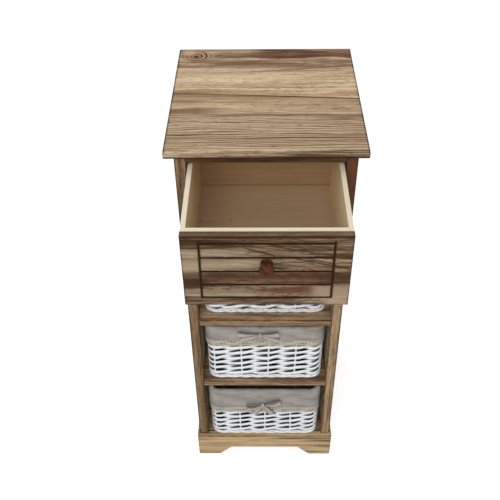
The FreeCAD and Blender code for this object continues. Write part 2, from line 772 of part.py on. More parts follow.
def knob(bolt_hole):
    """A turned knob: a foot that narrows to a neck, and a head that flares and is bevelled to a dome."""
    body = body_at("drawer_knob_blank", "0", "drawer_face", "knob_height")
    body.Placement.Rotation = FreeCAD.Rotation(FreeCAD.Vector(0, 0, 1), 180)
    profile = sketch_on(body, "profile", "XY_Plane")
    neck = "knob_neck / 2"
    rim = "knob_diameter / 2"
    under_head = "knob_length - knob_head_length"
    outline(profile, (
        ("0", "0"), ("knob_base / 2", "0"), (neck, "knob_foot"), (neck, under_head),
        (rim, f"{under_head} + knob_flare"), (rim, "knob_length - knob_dome"),
        (f"{rim} - knob_dome / 3", "knob_length - knob_dome / 3"), (f"{rim} - knob_dome", "knob_length"),
        ("0", "knob_length"),
    ))
    turned = body.newObject("PartDesign::Revolution", "drawer_knob_turned")
    turned.Profile = profile
    turned.ReferenceAxis = (profile, ["V_Axis"])
    turned.Angle = 360
    doc.recompute()
    node(drilled("drawer_knob", body, [bolt_hole]))


def drawer():
    """The drawer: front, box, bottom, knob and what fastens them."""
    front_pins = Pins("drawer_front_pins")
    box_pins = Pins("drawer_box_pins")
    shank = "box_front_thick + front_thick + knob_grip"
    shank_place = ("0", f"box_front_in - ({shank}) / 2", "knob_height")
    bolt_hole = rod("knob_screw_hole", shank_place, "bolt_diameter + 2 * bolt_play", shank)
    front_holes = [bolt_hole]
    box_front_holes = [bolt_hole]
    length = "box_front_thick + pin_bite"
    for _, sign in SIDES:
        place = (f"{sign} * box_half / 2", f"box_front_in - ({length}) / 2", "(box_top + box_under) / 2")
        hole = front_pins.add("y", place, length)
        front_holes.append(hole)
        box_front_holes.append(hole)
    back_holes = []
    corners = (
        ("drawer_front_in + box_front_thick / 2", box_front_holes),
        ("drawer_end - box_side_thick / 2", back_holes),
    )
    for side, sign in SIDES:
        side_holes = []
        for y, end_holes in corners:
            for share in ("1 / 3", "5 / 6"):
                level = f"box_under + (box_top - box_under) * {share}"
                place = (f"{sign} * (drawer_half - (box_side_thick + pin_bite) / 2)", y, level)
                hole = box_pins.add("x", place, "box_side_thick + pin_bite")
                side_holes.append(hole)
                end_holes.append(hole)
        drawer_side(f"drawer_side_{side}", sign, side_holes)
    drawer_front(front_holes)
    box_front(box_front_holes)
    back_board = board(
        "drawer_back_blank", ("-box_half", "box_half"), ("drawer_back_in", "drawer_end"),
        ("floor_top", "box_top"),
    )
    node(drilled("drawer_back", back_board, back_holes))
    floor_half = "box_half + floor_groove - floor_play"
    node(board(
        "drawer_bottom", (f"-({floor_half})", floor_half),
        ("box_front_in - floor_groove + floor_play", "drawer_end"), ("floor_under", "floor_top"),
    ))
    knob(bolt_hole)
    bolt = doc.addObject("Part::Fuse", "knob_screw")
    bolt.Base = rod("knob_screw_shank", shank_place, "bolt_diameter", shank)
    head_place = ("0", "box_front_in + bolt_head_height / 2", "knob_height")
    bolt.Tool = rod("knob_screw_head", head_place, "bolt_head", "bolt_head_height")
    node(bolt)
    for pins in (front_pins, box_pins):
        node(group(pins.label, pins.pieces))


def ring(body, name, low, length, outside, inside):
    """A band round the basket: offsets of its two faces from the wicker's outer face."""
    band = sketch_on(body, name, "XY_Plane", low)
    for offset in (outside, inside):
        if offset is not None:
            wide = f"basket_width + 2 * ({offset})"
            deep = f"basket_depth + 2 * ({offset})"
            round_rectangle(band, wide, deep, f"basket_corner + ({offset})")
    pad(body, band, length)


def bow(label, y, z):
    """A flat ribbon bow: two loops, a knot and two tails."""
    middle = "bow_span / 2"
    knot = "bow_knot / 2"
    level = "bow_tail + bow_knot / 2"
    tail = "bow_span / 4"
    body = node(body_at(label, "-bow_span / 2", y, z))
    face = sketch_on(body, "face", "XZ_Plane")
    outline(face, (
        (f"{middle} - {tail}", "0"), (f"{middle} - {tail} + bow_tail_width", "0"), (middle, "bow_tail"),
        (f"{middle} + {tail} - bow_tail_width", "0"), (f"{middle} + {tail}", "0"),
        (f"{middle} + {knot}", "bow_tail"), ("bow_span", f"{level} - bow_loop / 2"),
        ("bow_span", f"{level} + bow_loop / 2"), (f"{middle} + {knot}", f"{level} + {knot}"),
        (f"{middle} - {knot}", f"{level} + {knot}"), ("0", f"{level} + bow_loop / 2"),
        ("0", f"{level} - bow_loop / 2"), (f"{middle} - {knot}", "bow_tail"),
    ))
    pad(body, face, "bow_thick")


def basket(name, shelf_top, setback, cuff, knot):
    """A wicker basket with its liner, the liner's cuff over the rim, the lace and the bow."""
    label = f"basket_{name}"
    place = ("0", f"front + {setback} + basket_depth / 2", f"{shelf_top} + basket_play")
    wicker = node(body_at(label, *place))
    ring(wicker, "outline", "0", "basket_height", "0", None)
    bevel_edges(wicker, "foot", "basket_foot", lambda box: near(box.ZMax, 0))
    inside = sketch_on(wicker, "inside", "XY_Plane", "basket_wall")
    wide = "basket_width - 2 * basket_wall"
    deep = "basket_depth - 2 * basket_wall"
    round_rectangle(inside, wide, deep, "basket_corner - basket_wall")
    pocket(wicker, inside, "basket_height - basket_wall", reverse=True)
    liner = node(body_at(f"{label}_liner", *place))
    lining_foot = "basket_wall + basket_play"
    rim = "basket_height + basket_play"
    ring(liner, "floor", lining_foot, "cloth_thick", "-lining_out", None)
    ring(liner, "wall", lining_foot, f"{rim} - ({lining_foot})", "-lining_out", "-lining_in")
    ring(liner, "fold", rim, "cloth_thick", "cuff_out", "-lining_in")
    ring(liner, "cuff", f"basket_height - {cuff}", f"{cuff} + basket_play", "cuff_out", "basket_play")
    lace = node(body_at(f"{label}_lace", *place))
    lace_out = "basket_play + lace_thick"
    ring(lace, "band", f"basket_height - {cuff} - lace_drop", "lace_drop", lace_out, "basket_play")
    bow_face = f"front + {setback} - cuff_out - basket_play"
    bow_foot = f"{place[2]} + basket_height - {cuff} + {knot} - bow_knot / 2 - bow_tail"
    bow(f"{label}_bow", bow_face, bow_foot)


def write_out():
    """Check every object and piece, then write each piece to its own file."""
    doc.recompute()
    failed = [thing.Label for thing in doc.Objects if {"Invalid", "Error"} & set(thing.State)]
    if failed:
        raise RuntimeError(f"objects that failed: {failed}")
    for piece in nodes:
        if piece.Shape.isNull() or not piece.Shape.isValid() or not piece.Shape.Solids:
            raise RuntimeError(f"{piece.Label} is not a valid solid")
    os.makedirs("parts", exist_ok=True)
    for piece in nodes:
        piece.Shape.exportStep(f"parts/{piece.Label}.step")
    print(len(nodes), "pieces written")


fill_sheets()
plinth()
carcass()
drawer_slides()
drawer()
basket("upper", "upper_shelf_top", "upper_setback", "upper_cuff", "upper_bow")
basket("middle", "lower_shelf_top", "middle_setback", "middle_cuff", "middle_bow")
basket("lower", "plinth_height", "lower_setback", "lower_cuff", "lower_bow")
write_out()
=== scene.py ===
import math
import random

import bmesh
import bpy
import numpy as np
from mathutils import Matrix, Vector


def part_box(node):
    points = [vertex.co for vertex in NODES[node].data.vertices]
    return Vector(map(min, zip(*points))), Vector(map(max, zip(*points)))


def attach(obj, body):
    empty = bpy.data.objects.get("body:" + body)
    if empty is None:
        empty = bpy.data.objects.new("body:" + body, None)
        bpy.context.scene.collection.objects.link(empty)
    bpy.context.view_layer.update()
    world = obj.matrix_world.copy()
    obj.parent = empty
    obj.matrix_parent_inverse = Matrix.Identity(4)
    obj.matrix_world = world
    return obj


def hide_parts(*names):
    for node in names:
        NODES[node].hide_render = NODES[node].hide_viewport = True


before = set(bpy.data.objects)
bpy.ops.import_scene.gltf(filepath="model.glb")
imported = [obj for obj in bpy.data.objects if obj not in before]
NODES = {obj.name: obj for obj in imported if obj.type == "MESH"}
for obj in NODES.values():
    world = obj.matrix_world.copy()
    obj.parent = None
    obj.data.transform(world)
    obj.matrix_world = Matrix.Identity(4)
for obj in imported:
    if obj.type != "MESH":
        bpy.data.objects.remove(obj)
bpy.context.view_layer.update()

SCENE = bpy.context.scene
WHITE = (1.0, 1.0, 1.0, 1.0)

# all lengths are in metres, unless a comment says mm
MM = 0.001

# a wave texture of this scale repeats once in a metre
WAVE_SCALE = 0.314159
# a wave's phase is drawn from 0 to here, a full turn
PHASES = 6.283
# one seed's timber lies this far along the grain from the next
SEED_STEP = 1.37

# wicker walls
STAKES = 18
STAKE_RADII = (1.6 * MM, 1.6 * MM)
STAKE_LEAN = 1.6 * MM
FIRST_STAKE = {"upper": 4 * MM, "middle": 7 * MM, "lower": 1 * MM}
POINTS_PER_STAKE = 12
ROW_PITCH = 14.8 * MM
STRAND_HALF_HEIGHT = 4.1 * MM
STRAND_HALF_THICKNESS = 0.9 * MM
STRAND_SWING = 2.1 * MM
STRAND_RISE = 3.5 * MM
STRAND_WANDER = 1.1 * MM
ROD_SIDES = 6
WALL = 6 * MM
CORNER = 20 * MM

# wicker foot, rim and base
FOOT_HEIGHT = 9.4 * MM
FOOT_LEVEL = 4.8 * MM
FOOT_RODS = 3
FOOT_TURNS = 13
FOOT_SWING = 1.1 * MM
FOOT_RISE = 3.1 * MM
FOOT_RADIUS = 1.6 * MM
RIM_DROP = 2.2 * MM
RIM_HALF_HEIGHT = 2.1 * MM
RIM_HALF_THICKNESS = 2.4 * MM
BASE_LEVEL = 3.2 * MM
BASE_STICKS = 9
BASE_STICK_RADII = (1.5 * MM, 1.5 * MM)
BASE_STICK_INSET = 14 * MM
BASE_PITCH = 9.1 * MM
BASE_END = 5 * MM
BASE_SWING = 1.3 * MM
BASE_RADII = (3.9 * MM, 0.8 * MM)
# the base is darkened this far toward the painted shade of the weave's back
BASE_SHADE = 0.6

# routed lines on the drawer front
LINE = 2.8 * MM
LINE_INSET = 24 * MM
LINE_HEAD = 10 * MM
LINE_FOOT = 15 * MM
SLATS = 4

# liner: the cuff outside, the fold over the rim and the bag inside
CLOTH = 0.8 * MM
LINER_COLUMNS = 264
NOTCHES = 16
CUFF_OUT = 1.15 * MM
CUFF_LEAST = 0.75 * MM
CUFF_DROP = 3.5 * MM
FOLD_OUT = -3 * MM
FOLD_RADIUS = 4.3 * MM
FOLD_DROP = 2.6 * MM
FOLD_LENGTH = 8 * MM
BAG_INSET = 7.4 * MM
BAG_DROP = 4 * MM
BAG_SAG = 4 * MM
BAG_FOOT = 7 * MM
BOTTOM_LESS = 15 * MM

# lace and ribbon
TRIM = 0.5 * MM
LACE_TUCK = 3 * MM
LACE_TAPE = 1.5 * MM
LACE_SIDES = 12
LACE_HOLE = 0.6
SCALLOP = 5.4 * MM
RIBBON_HALF = 6.5 * MM
RIBBON_MIDDLE = 50 * MM

# each bow in mm: its knot's place sideways and its height in the node, each loop's reach, rise and
# bulge, and each tail's end
BOWS = {
    "upper": {"knot": (-3, 27), "loops": ((34, 5, 8), (-33, 4, 8)), "tails": ((14, -20), (-13, -19))},
    "middle": {"knot": (-9, 32), "loops": ((35, 2, 5), (-42, 1, 4)), "tails": ((33, -16), (-35, -14))},
    "lower": {"knot": (-4, 34), "loops": ((36, 12, 10), (-30, -6, 9)), "tails": ((19, -29), (-17, -28))},
}
# a loop's course: shares of its reach and bulge, mm further out, share of its rise
LOOP = ((0.05, 0, 1.4, 0), (0.28, 0.62, 0, 0.34), (0.62, 1, 0, 0.74), (0.9, 0.82, 0, 1), (1, 0.42, 0, 0.98),
        (0.94, 0, 1.0, 0.86), (0.62, 0, 0.8, 0.48), (0.3, 0, 0.8, 0.16), (0.05, 0, 1.0, 0))
LOOP_WIDTHS = (4.5, 8.5, 14.0, 19.0, 20.0, 18.0, 13.0, 8.5, 4.5)
LOOP_TILT = 0.25
TAIL_WIDTHS = (5.0, 9.5, 12.0, 13.0)
KNOT = ((0, 0.9, -4.6), (0, 4.2, -4.4), (0, 6.4, 0.0), (0, 4.2, 4.4), (0, 0.9, 4.6))
KNOT_WIDTHS = (6.5, 7.6, 8.2, 7.6, 6.5)

# the knob's outline, as shares of its radius and of its depth
KNOB = ((0.84, 0.0), (0.83, 0.04), (0.77, 0.1), (0.73, 0.2), (0.74, 0.3), (0.8, 0.4), (0.9, 0.48),
        (0.97, 0.55), (1.0, 0.62), (0.98, 0.7), (0.92, 0.78), (0.8, 0.86), (0.62, 0.93), (0.4, 0.975),
        (0.18, 0.996), (0.02, 1.0))
KNOB_SIDES = 48
KNOB_ROWS = 46

# colours as screen values from 0 to 255; four tones of a wood are light, middle, dark and scorched
TAN = ((238, 211, 177), (195, 163, 126), (72, 46, 25), (92, 60, 38))
FRONT = ((168, 147, 122), (122, 97, 73), (42, 26, 13), (58, 36, 21))
POST_LEFT = ((154, 126, 96), (108, 83, 62), (44, 28, 19), (62, 40, 29))
POST_RIGHT = ((186, 158, 124), (140, 112, 84), (52, 34, 23), (80, 52, 38))
SHELF = ((190, 160, 128), (134, 104, 80), (48, 30, 19), (70, 46, 33))
PLINTH = ((218, 191, 150), (178, 148, 107), (60, 37, 18), (94, 62, 34))
# the rails' tones are painted darker as shade under the top and the drawer
SHADED_RAIL = ((112, 80, 55), (84, 57, 39), (44, 28, 19), (50, 32, 22))
PALE = ((240, 231, 211), (230, 217, 192), (204, 182, 148), (190, 164, 128))
RAW = ((222, 203, 171), (203, 180, 144), (160, 130, 96), (150, 120, 90))
TURNED = ((98, 58, 36), (68, 38, 23), (36, 19, 11), (38, 20, 12))
INNER = ((194, 164, 128), (184, 153, 118))
INNER_BACK = ((172, 141, 104), (160, 129, 93))
INNER_SIDE = ((242, 216, 174), (231, 203, 160))
BURNT = (46, 30, 17)
SCORCH = (58, 38, 22)
REDDISH = (94, 56, 36)
BROWNED = (62, 38, 21)

# floor, light and camera; a lamp has a place, an aim, a side and watts
FLOOR_HALF = 6.0
FLOOR_DROP = 0.2 * MM
FLOOR_COLOUR = (0.8, 0.8, 0.8, 1.0)
FLOOR_GLOW = 0.62
WORLD_LIGHT = 0.42
LAMPS = {
    "overhead": ((-0.4, 0.1, 2.7), (0, 0, 0.6), 2.0, 8.5),
    "front_key": ((-0.3, -1.6, 1.75), (0, -0.1, 0.4), 1.2, 21.0),
    "front_fill": ((0.25, -1.75, 0.6), (0, -0.1, 0.35), 0.5, 1.6),
}
EYE = (-0.00923, -1.03037, 1.37605)
PITCH_YAW_ROLL = (42.02, -1.05, -0.77)
# the focal length over the picture's width
FOCAL_SHARE = 723.87 / 500


def srgb(*screen):
    """A colour written as 0 to 255 screen values, as the shader's linear colour."""
    shares = [value / 255 for value in screen]
    return (*(c / 12.92 if c <= 0.04045 else ((c + 0.055) / 1.055) ** 2.4 for c in shares), 1.0)


# Materials

class Value:
    """What a node gives out; sums, products and steps of it are further nodes."""

    def __init__(self, nodes, socket):
        self.nodes = nodes
        self.socket = socket

    def __add__(self, other):
        return self.nodes.math("ADD", self, other)

    def __sub__(self, other):
        return self.nodes.math("SUBTRACT", self, other)

    def __mul__(self, other):
        return self.nodes.math("MULTIPLY", self, other)

    def step(self, low, high, bottom=0.0, top=1.0):
        """A smooth step from bottom, where the value is low, to top, where it is high."""
        return self.nodes.give("MapRange", self, low, high, bottom, top, interpolation_type="SMOOTHSTEP")

    def near(self, centre, width):
        """1 about centre, fading to 0 at width away from it."""
        return self.nodes.math("ABSOLUTE", self - centre).step(0.35 * width, width, 1.0, 0.0)


class Nodes:
    """The node tree of a material or a world, emptied and built up again."""

    def __init__(self, owner):
        owner.use_nodes = True
        self.tree = owner.node_tree
        self.tree.nodes.clear()

    def put(self, socket, value):
        if isinstance(value, Value):
            self.tree.links.new(value.socket, socket)
        else:
            socket.default_value = value

    def add(self, kind, *inputs, **named):
        """A new node: inputs fill its sockets in order, a capital names a socket, the rest are settings."""
        made = self.tree.nodes.new("ShaderNode" + kind)
        for key, value in named.items():
            if key[0].isupper():
                self.put(made.inputs[key], value)
            else:
                setattr(made, key, value)
        for socket, value in zip(made.inputs, inputs):
            self.put(socket, value)
        return made

    def give(self, kind, *inputs, output=0, **named):
        return Value(self, self.add(kind, *inputs, **named).outputs[output])

    def math(self, operation, *values):
        return self.give("Math", *values, operation=operation)

    def seen(self, plain, shown):
        """Shown to rays from the eye, or reflected or let through to it, and plain to the others."""
        eye = self.give("LightPath", output="Is Camera Ray")
        for other in ("Is Glossy Ray", "Is Transmission Ray"):
            eye = self.math("MAXIMUM", eye, self.give("LightPath", output=other))
        return self.give("MixShader", eye, plain, shown)


class Shader(Nodes):
    """One material, built step by step around a Principled shader."""

    def __init__(self, name, **sockets):
        self.mat = bpy.data.materials.new(name)
        super().__init__(self.mat)
        self.bsdf = self.add("BsdfPrincipled")
        self.add("OutputMaterial", Value(self, self.bsdf.outputs[0]))
        self.set(**sockets)
        self.place = self.give("TexCoord", output="Object")

    def set(self, **sockets):
        for name, value in sockets.items():
            self.put(self.bsdf.inputs[name.replace("_", " ")], value)

    def axes(self, vector=None):
        split = self.add("SeparateXYZ", vector or self.place)
        return [Value(self, output) for output in split.outputs]

    def vec(self, x, y, z):
        return self.give("CombineXYZ", x, y, z)

    def radius(self, x, y, share=1.0):
        """The distance from where x and y are 0; a share below 1 draws it out along x."""
        return self.math("SQRT", x * x * share + y * y)

    def noise(self, vector, scale=1.0, detail=2.0, roughness=0.5):
        return self.give("TexNoise", Vector=vector, Scale=scale, Detail=detail, Roughness=roughness)

    def wave(self, vector, period, kind="RINGS", profile="SAW"):
        return self.give("TexWave", output="Fac", wave_type=kind, wave_profile=profile, Vector=vector,
                         Scale=WAVE_SCALE / period)

    def mix(self, factor, a, b):
        """From colour a to colour b; each is screen values or what a node gives out."""
        made = self.add("Mix", factor, data_type="RGBA")
        # a Mix node has its colours at these sockets
        for slot, colour in ((6, a), (7, b)):
            self.put(made.inputs[slot], srgb(*colour) if isinstance(colour, tuple) else colour)
        return Value(self, made.outputs[2])

    def arris(self, low, high, width):
        """1 along the edges of the box from low to high, 0 from width inwards."""
        p, q, r = (self.math("MINIMUM", axis - lo, axis * -1.0 + hi)
                   for axis, lo, hi in zip(self.axes(), low, high))
        inner = self.math("MINIMUM", self.math("MAXIMUM", p, q), r)
        middle = self.math("MAXIMUM", self.math("MINIMUM", p, q), inner)
        wobble = self.noise(self.place, 60.0) - 0.5
        return (middle + wobble * width).step(width * 0.15, width, 1.0, 0.0)

    def finish(self, colour, roughness, relief, strength, depth):
        """The material, with its relief as a bump of this strength and depth."""
        bump = self.give("Bump", Height=relief, Strength=strength, Distance=depth)
        self.set(Base_Color=colour, Roughness=roughness, Normal=bump)
        return self.mat


class Wood(Shader):
    """Solid timber: growth rings round a pith that runs along the grain, fibres and pores."""

    def __init__(self, name, grain, tones, pith, period, seed=0.0, lines=0.6, burn=0.0, warp=0.016,
                 zone=(0.3, 0.62), knot=None, sheen=0.42, contrast=1.0, tilt=(0.0, 0.0)):
        super().__init__(name, Specular_IOR_Level=0.05)
        light, mid, dark, scorched = tones
        x, y, z = self.axes()
        # g runs along the grain, a and b across it
        self.g, a, self.b = {"x": (x, y, z), "y": (y, x, z), "z": (z, x, y)}[grain]
        shift = seed * SEED_STEP
        along = self.g + shift
        if knot:
            a = self.parted(a, along, knot[0] + shift, *knot[1:])
        broad_warp = self.drawn(along, a, 4.5, 15.0, 2.0) - 0.5
        small_warp = self.drawn(along, a, 7.0, 75.0, 1.0) - 0.5
        moved = a + broad_warp * warp + small_warp * (0.9 * period)
        self.moved = moved
        from_pith_a = moved + (self.g * -tilt[0] - pith[0])
        from_pith_b = self.b + (self.g * -tilt[1] - pith[1])
        self.saw = self.wave(self.vec(along, from_pith_a, from_pith_b), period)
        self.fibre = self.drawn(along, a, 12.0, 420.0, 2.0, 0.6)
        pores = self.drawn(along, a, 40.0, 430.0, 1.0)
        vein = self.drawn(along, moved, 5.0, 135.0, 3.0, 0.6)
        streak = self.drawn(along, moved, 5.0, 260.0, 4.0, 0.65)
        broad = self.drawn(along, moved, 1.8, 34.0, 3.0, 0.55)
        zones = self.drawn(along, moved, 2.4, 12.0, 1.0)
        own = self.drawn(along, moved, 6.0, 105.0, 2.0)
        tone = streak * 0.6 + broad * 0.5
        self.colour = self.mix(tone.step(0.42, 0.68), light, mid)
        self.over(dark, vein.step(0.53, 0.64, 0.0, 0.36 * contrast))
        self.over(dark, streak.step(0.5, 0.66, 0.0, 0.42 * contrast))
        sharp = self.saw.step(0.55, 0.97)
        strength = own.step(0.34, 0.6, 0.15, 1.0) * zones.step(*zone, 0.2, 1.0)
        self.rings = sharp * sharp * strength
        self.over(dark, self.rings * lines)
        if burn:
            patch = self.drawn(along, moved, 2.6, 46.0, 3.0, 0.6)
            self.over(scorched, patch.step(0.5, 0.64, 0.0, burn))
        self.over(dark, pores.step(0.52, 0.66, 0.0, 0.4 * contrast))
        self.sheen = sheen

    def drawn(self, g, a, along, across, detail, roughness=0.5):
        """Noise drawn out along the grain."""
        return self.noise(self.vec(g * along, a * across, self.b * across), 1.0, detail, roughness)

    def parted(self, a, along, knot_g, knot_a, reach):
        """The grain drawn apart round a knot."""
        dg = along - knot_g
        da = a - knot_a
        away = dg * dg * 0.45 + da * da
        pull = self.math("EXPONENT", away * (-1 / reach ** 2))
        return da * (pull * -0.8 + 1.0) + knot_a

    def over(self, colour, share):
        """Lays a colour over the wood."""
        self.colour = self.mix(share, self.colour, colour)

    def fleck(self, depth, colour):
        """Short dark marks along the grain."""
        marks = self.drawn(self.g, self.moved, 70.0, 400.0, 2.0, 0.6)
        self.over(colour, marks.step(0.53, 0.66, 0.0, depth))

    def bands(self, height, colour, *rows):
        """Bands with the grain; a row is a level, a width, where it starts, where it is full, a depth."""
        for level, width, start, full, depth in rows:
            self.over(colour, height.near(level, width) * self.g.step(start, full) * depth)

    def done(self):
        relief = self.fibre * 0.4 - self.rings * 0.6
        return self.finish(self.colour, self.fibre * 0.25 + self.sheen, relief, 0.35, 0.5 * MM)


def dress(name, material):
    """The CAD node keeps its shape and shows this material."""
    slots = NODES[name].data.materials
    slots.clear()
    slots.append(material)


def dress_all(names, grain, tones, pith, period, edge=0.35, width=0.0014, heat=None, bands=(), flecks=0.0,
              **options):
    """Each named board gets timber of its own cut, with scorched arrises; heat darkens one end."""
    for turn, name in enumerate(names):
        low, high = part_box(name)
        a, b = ((low[i] + high[i]) / 2 for i in range(3) if "xyz"[i] != grain)
        side = 1 if turn % 2 else -1
        board = Wood("timber_" + name, grain, tones, (a + pith[0] * side, b + pith[1]), period,
                     seed=1.7 * turn + len(name), **options)
        if flecks:
            board.fleck(flecks, tones[2])
        if heat:
            start, full, depth = heat
            board.over(REDDISH, (board.g + board.fibre * 0.05).step(start, full, 0.0, depth))
        board.bands(board.b + (board.fibre - 0.5) * 0.008, SCORCH, *bands)
        board.over(BURNT, board.arris(low, high, width) * edge)
        dress(name, board.done())


def top_material():
    low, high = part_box("top_panel")
    knot_x, knot_y = -0.119, 0.125
    top = Wood("timber_top_panel", "x", TAN, (0.06, high.z - 0.06), 0.0096, lines=0.12, burn=0.14,
               warp=0.02, zone=(0.1, 0.45), knot=(knot_x, knot_y, 0.03), contrast=0.5)
    x, y, z = top.axes()
    ragged = top.drawn(top.g, top.moved, 7.0, 60.0, 3.0, 0.6)
    loose = ragged - 0.5
    shaken = y + loose * 0.03
    top.fleck(0.42, (84, 56, 33))
    # the front third is browner than the middle, and its rings are burnt dark
    front = shaken.step(-0.04, -0.07) * y.step(low.y + 0.002, low.y + 0.006)
    top.over((132, 104, 75), front * 0.32)
    held = front * top.drawn(top.g, top.moved, 4.0, 70.0, 2.0).step(0.34, 0.54, 0.45, 1.0)
    top.over((46, 29, 16), top.saw.step(0.8, 0.93) * held * 0.95)
    top.over((202, 178, 148), top.saw.near(0.34, 0.3) * front * 0.4)
    top.over((66, 43, 26), top.saw.near(0.42, 0.1) * held * 0.8)
    # brown bands beside the joint at the left and where the front third begins, and a pale one
    top.bands(shaken, (98, 69, 49),
              (-0.025, 0.01, -0.07, -0.12, 0.5), (-0.054, 0.012, -0.05, -0.11, 0.6),
              (-0.067, 0.007, -0.11, -0.06, 0.6), (-0.076, 0.006, 0.06, 0.12, 0.6))
    top.bands(shaken, (206, 178, 144), (-0.043, 0.007, -0.105, -0.135, 0.75))
    # behind the middle the board darkens in strands towards a scorched back edge
    top.over((106, 72, 50), shaken.step(0.06, 0.096) * ragged.step(0.4, 0.54) * 0.65)
    scorched = (y + loose * 0.07).step(0.104, 0.122) * x.step(-0.06, 0.01)
    top.over((88, 52, 35), scorched * ragged.step(0.36, 0.6, 0.4, 0.98))
    wedge = shaken + x * 0.51 - 0.1935
    top.over((156, 116, 90), wedge.step(-0.002, 0.004) * x.step(0.072, 0.092) * 0.72)
    slant = y + x * -0.145 + loose * 0.008
    top.over((104, 75, 52), slant.near(0.07, 0.0022) * x.step(-0.06, 0.0) * 0.6)
    top.bands(shaken, (96, 63, 44), (0.124, 0.013, -0.108, -0.08, 0.72))
    top.bands(shaken, (110, 76, 54), (0.103, 0.008, -0.14, -0.1, 0.55))
    top.bands(shaken, (188, 158, 128), (0.144, 0.007, 0.01, -0.04, 0.7))
    # the joint between the two boards of the top, browner in front of it
    joint = y + x * 0.062 + 0.0105 + loose * 0.004
    top.over((48, 30, 20), joint.near(0.0, 0.0026) * x.step(-0.08, 0.02, 0.6, 0.95))
    top.over((124, 92, 62), joint.step(-0.045, -0.004) * joint.step(0.0005, -0.0005) * 0.52)
    # the knot: a pale heart off to one side, rings that are dark on the other, and a crack
    dx = x - knot_x
    dy = y - knot_y
    away = top.radius(dx, dy, 0.75) + loose * 0.012
    inside = away.step(0.018, 0.024, 1.0, 0.0)
    top.over((168, 134, 104), inside * 0.6)
    rings = top.math("SINE", away * 950.0).step(0.0, 0.8)
    dark_side = (dx + dy * -0.6).step(-0.012, 0.01, 0.4, 1.0)
    top.over((64, 40, 27), rings * dark_side * inside * 0.95)
    heart = top.radius(dx + 0.012, dy - 0.012) + loose * 0.008
    top.over((204, 174, 144), heart.step(0.006, 0.013, 0.8, 0.0))
    crack = top.radius(dx, dy + 0.003, 0.35)
    top.over((26, 15, 10), crack.step(0.0018, 0.0038, 0.97, 0.0))
    # a pin knot in the middle of the board
    pin = top.radius(x - 0.0526, y - 0.0108)
    checks = top.noise(top.place, 420.0).step(0.52, 0.6)
    top.over((98, 70, 48), checks * pin.step(0.004, 0.011, 0.75, 0.0))
    # burnt arrises, all but the front one
    ahead = Vector((low.x, low.y - 0.05, low.z))
    top.over(BURNT, top.arris(ahead, high, 0.0046) * 0.95)
    # the rounded front edge has taken more heat, most towards the right, and the lower few mm of the board
    # are darkened
    edge = y.step(low.y + 0.0045, low.y + 0.002)
    streaks = top.noise(top.vec(x * 7.0, 0.0, z * 420.0), 1.0, 3.0, 0.6)
    heat = x * 1.8 + (streaks - 0.5) * 1.5
    top.over((80, 54, 38), edge * heat.step(-0.3, 0.45, 0.28, 0.85))
    top.over((66, 45, 32), edge * streaks.step(0.48, 0.6, 0.0, 0.55))
    top.over(BURNT, z.step(low.z + 0.0062, low.z + 0.0034, 0.0, 0.92))
    dress("top_panel", top.done())


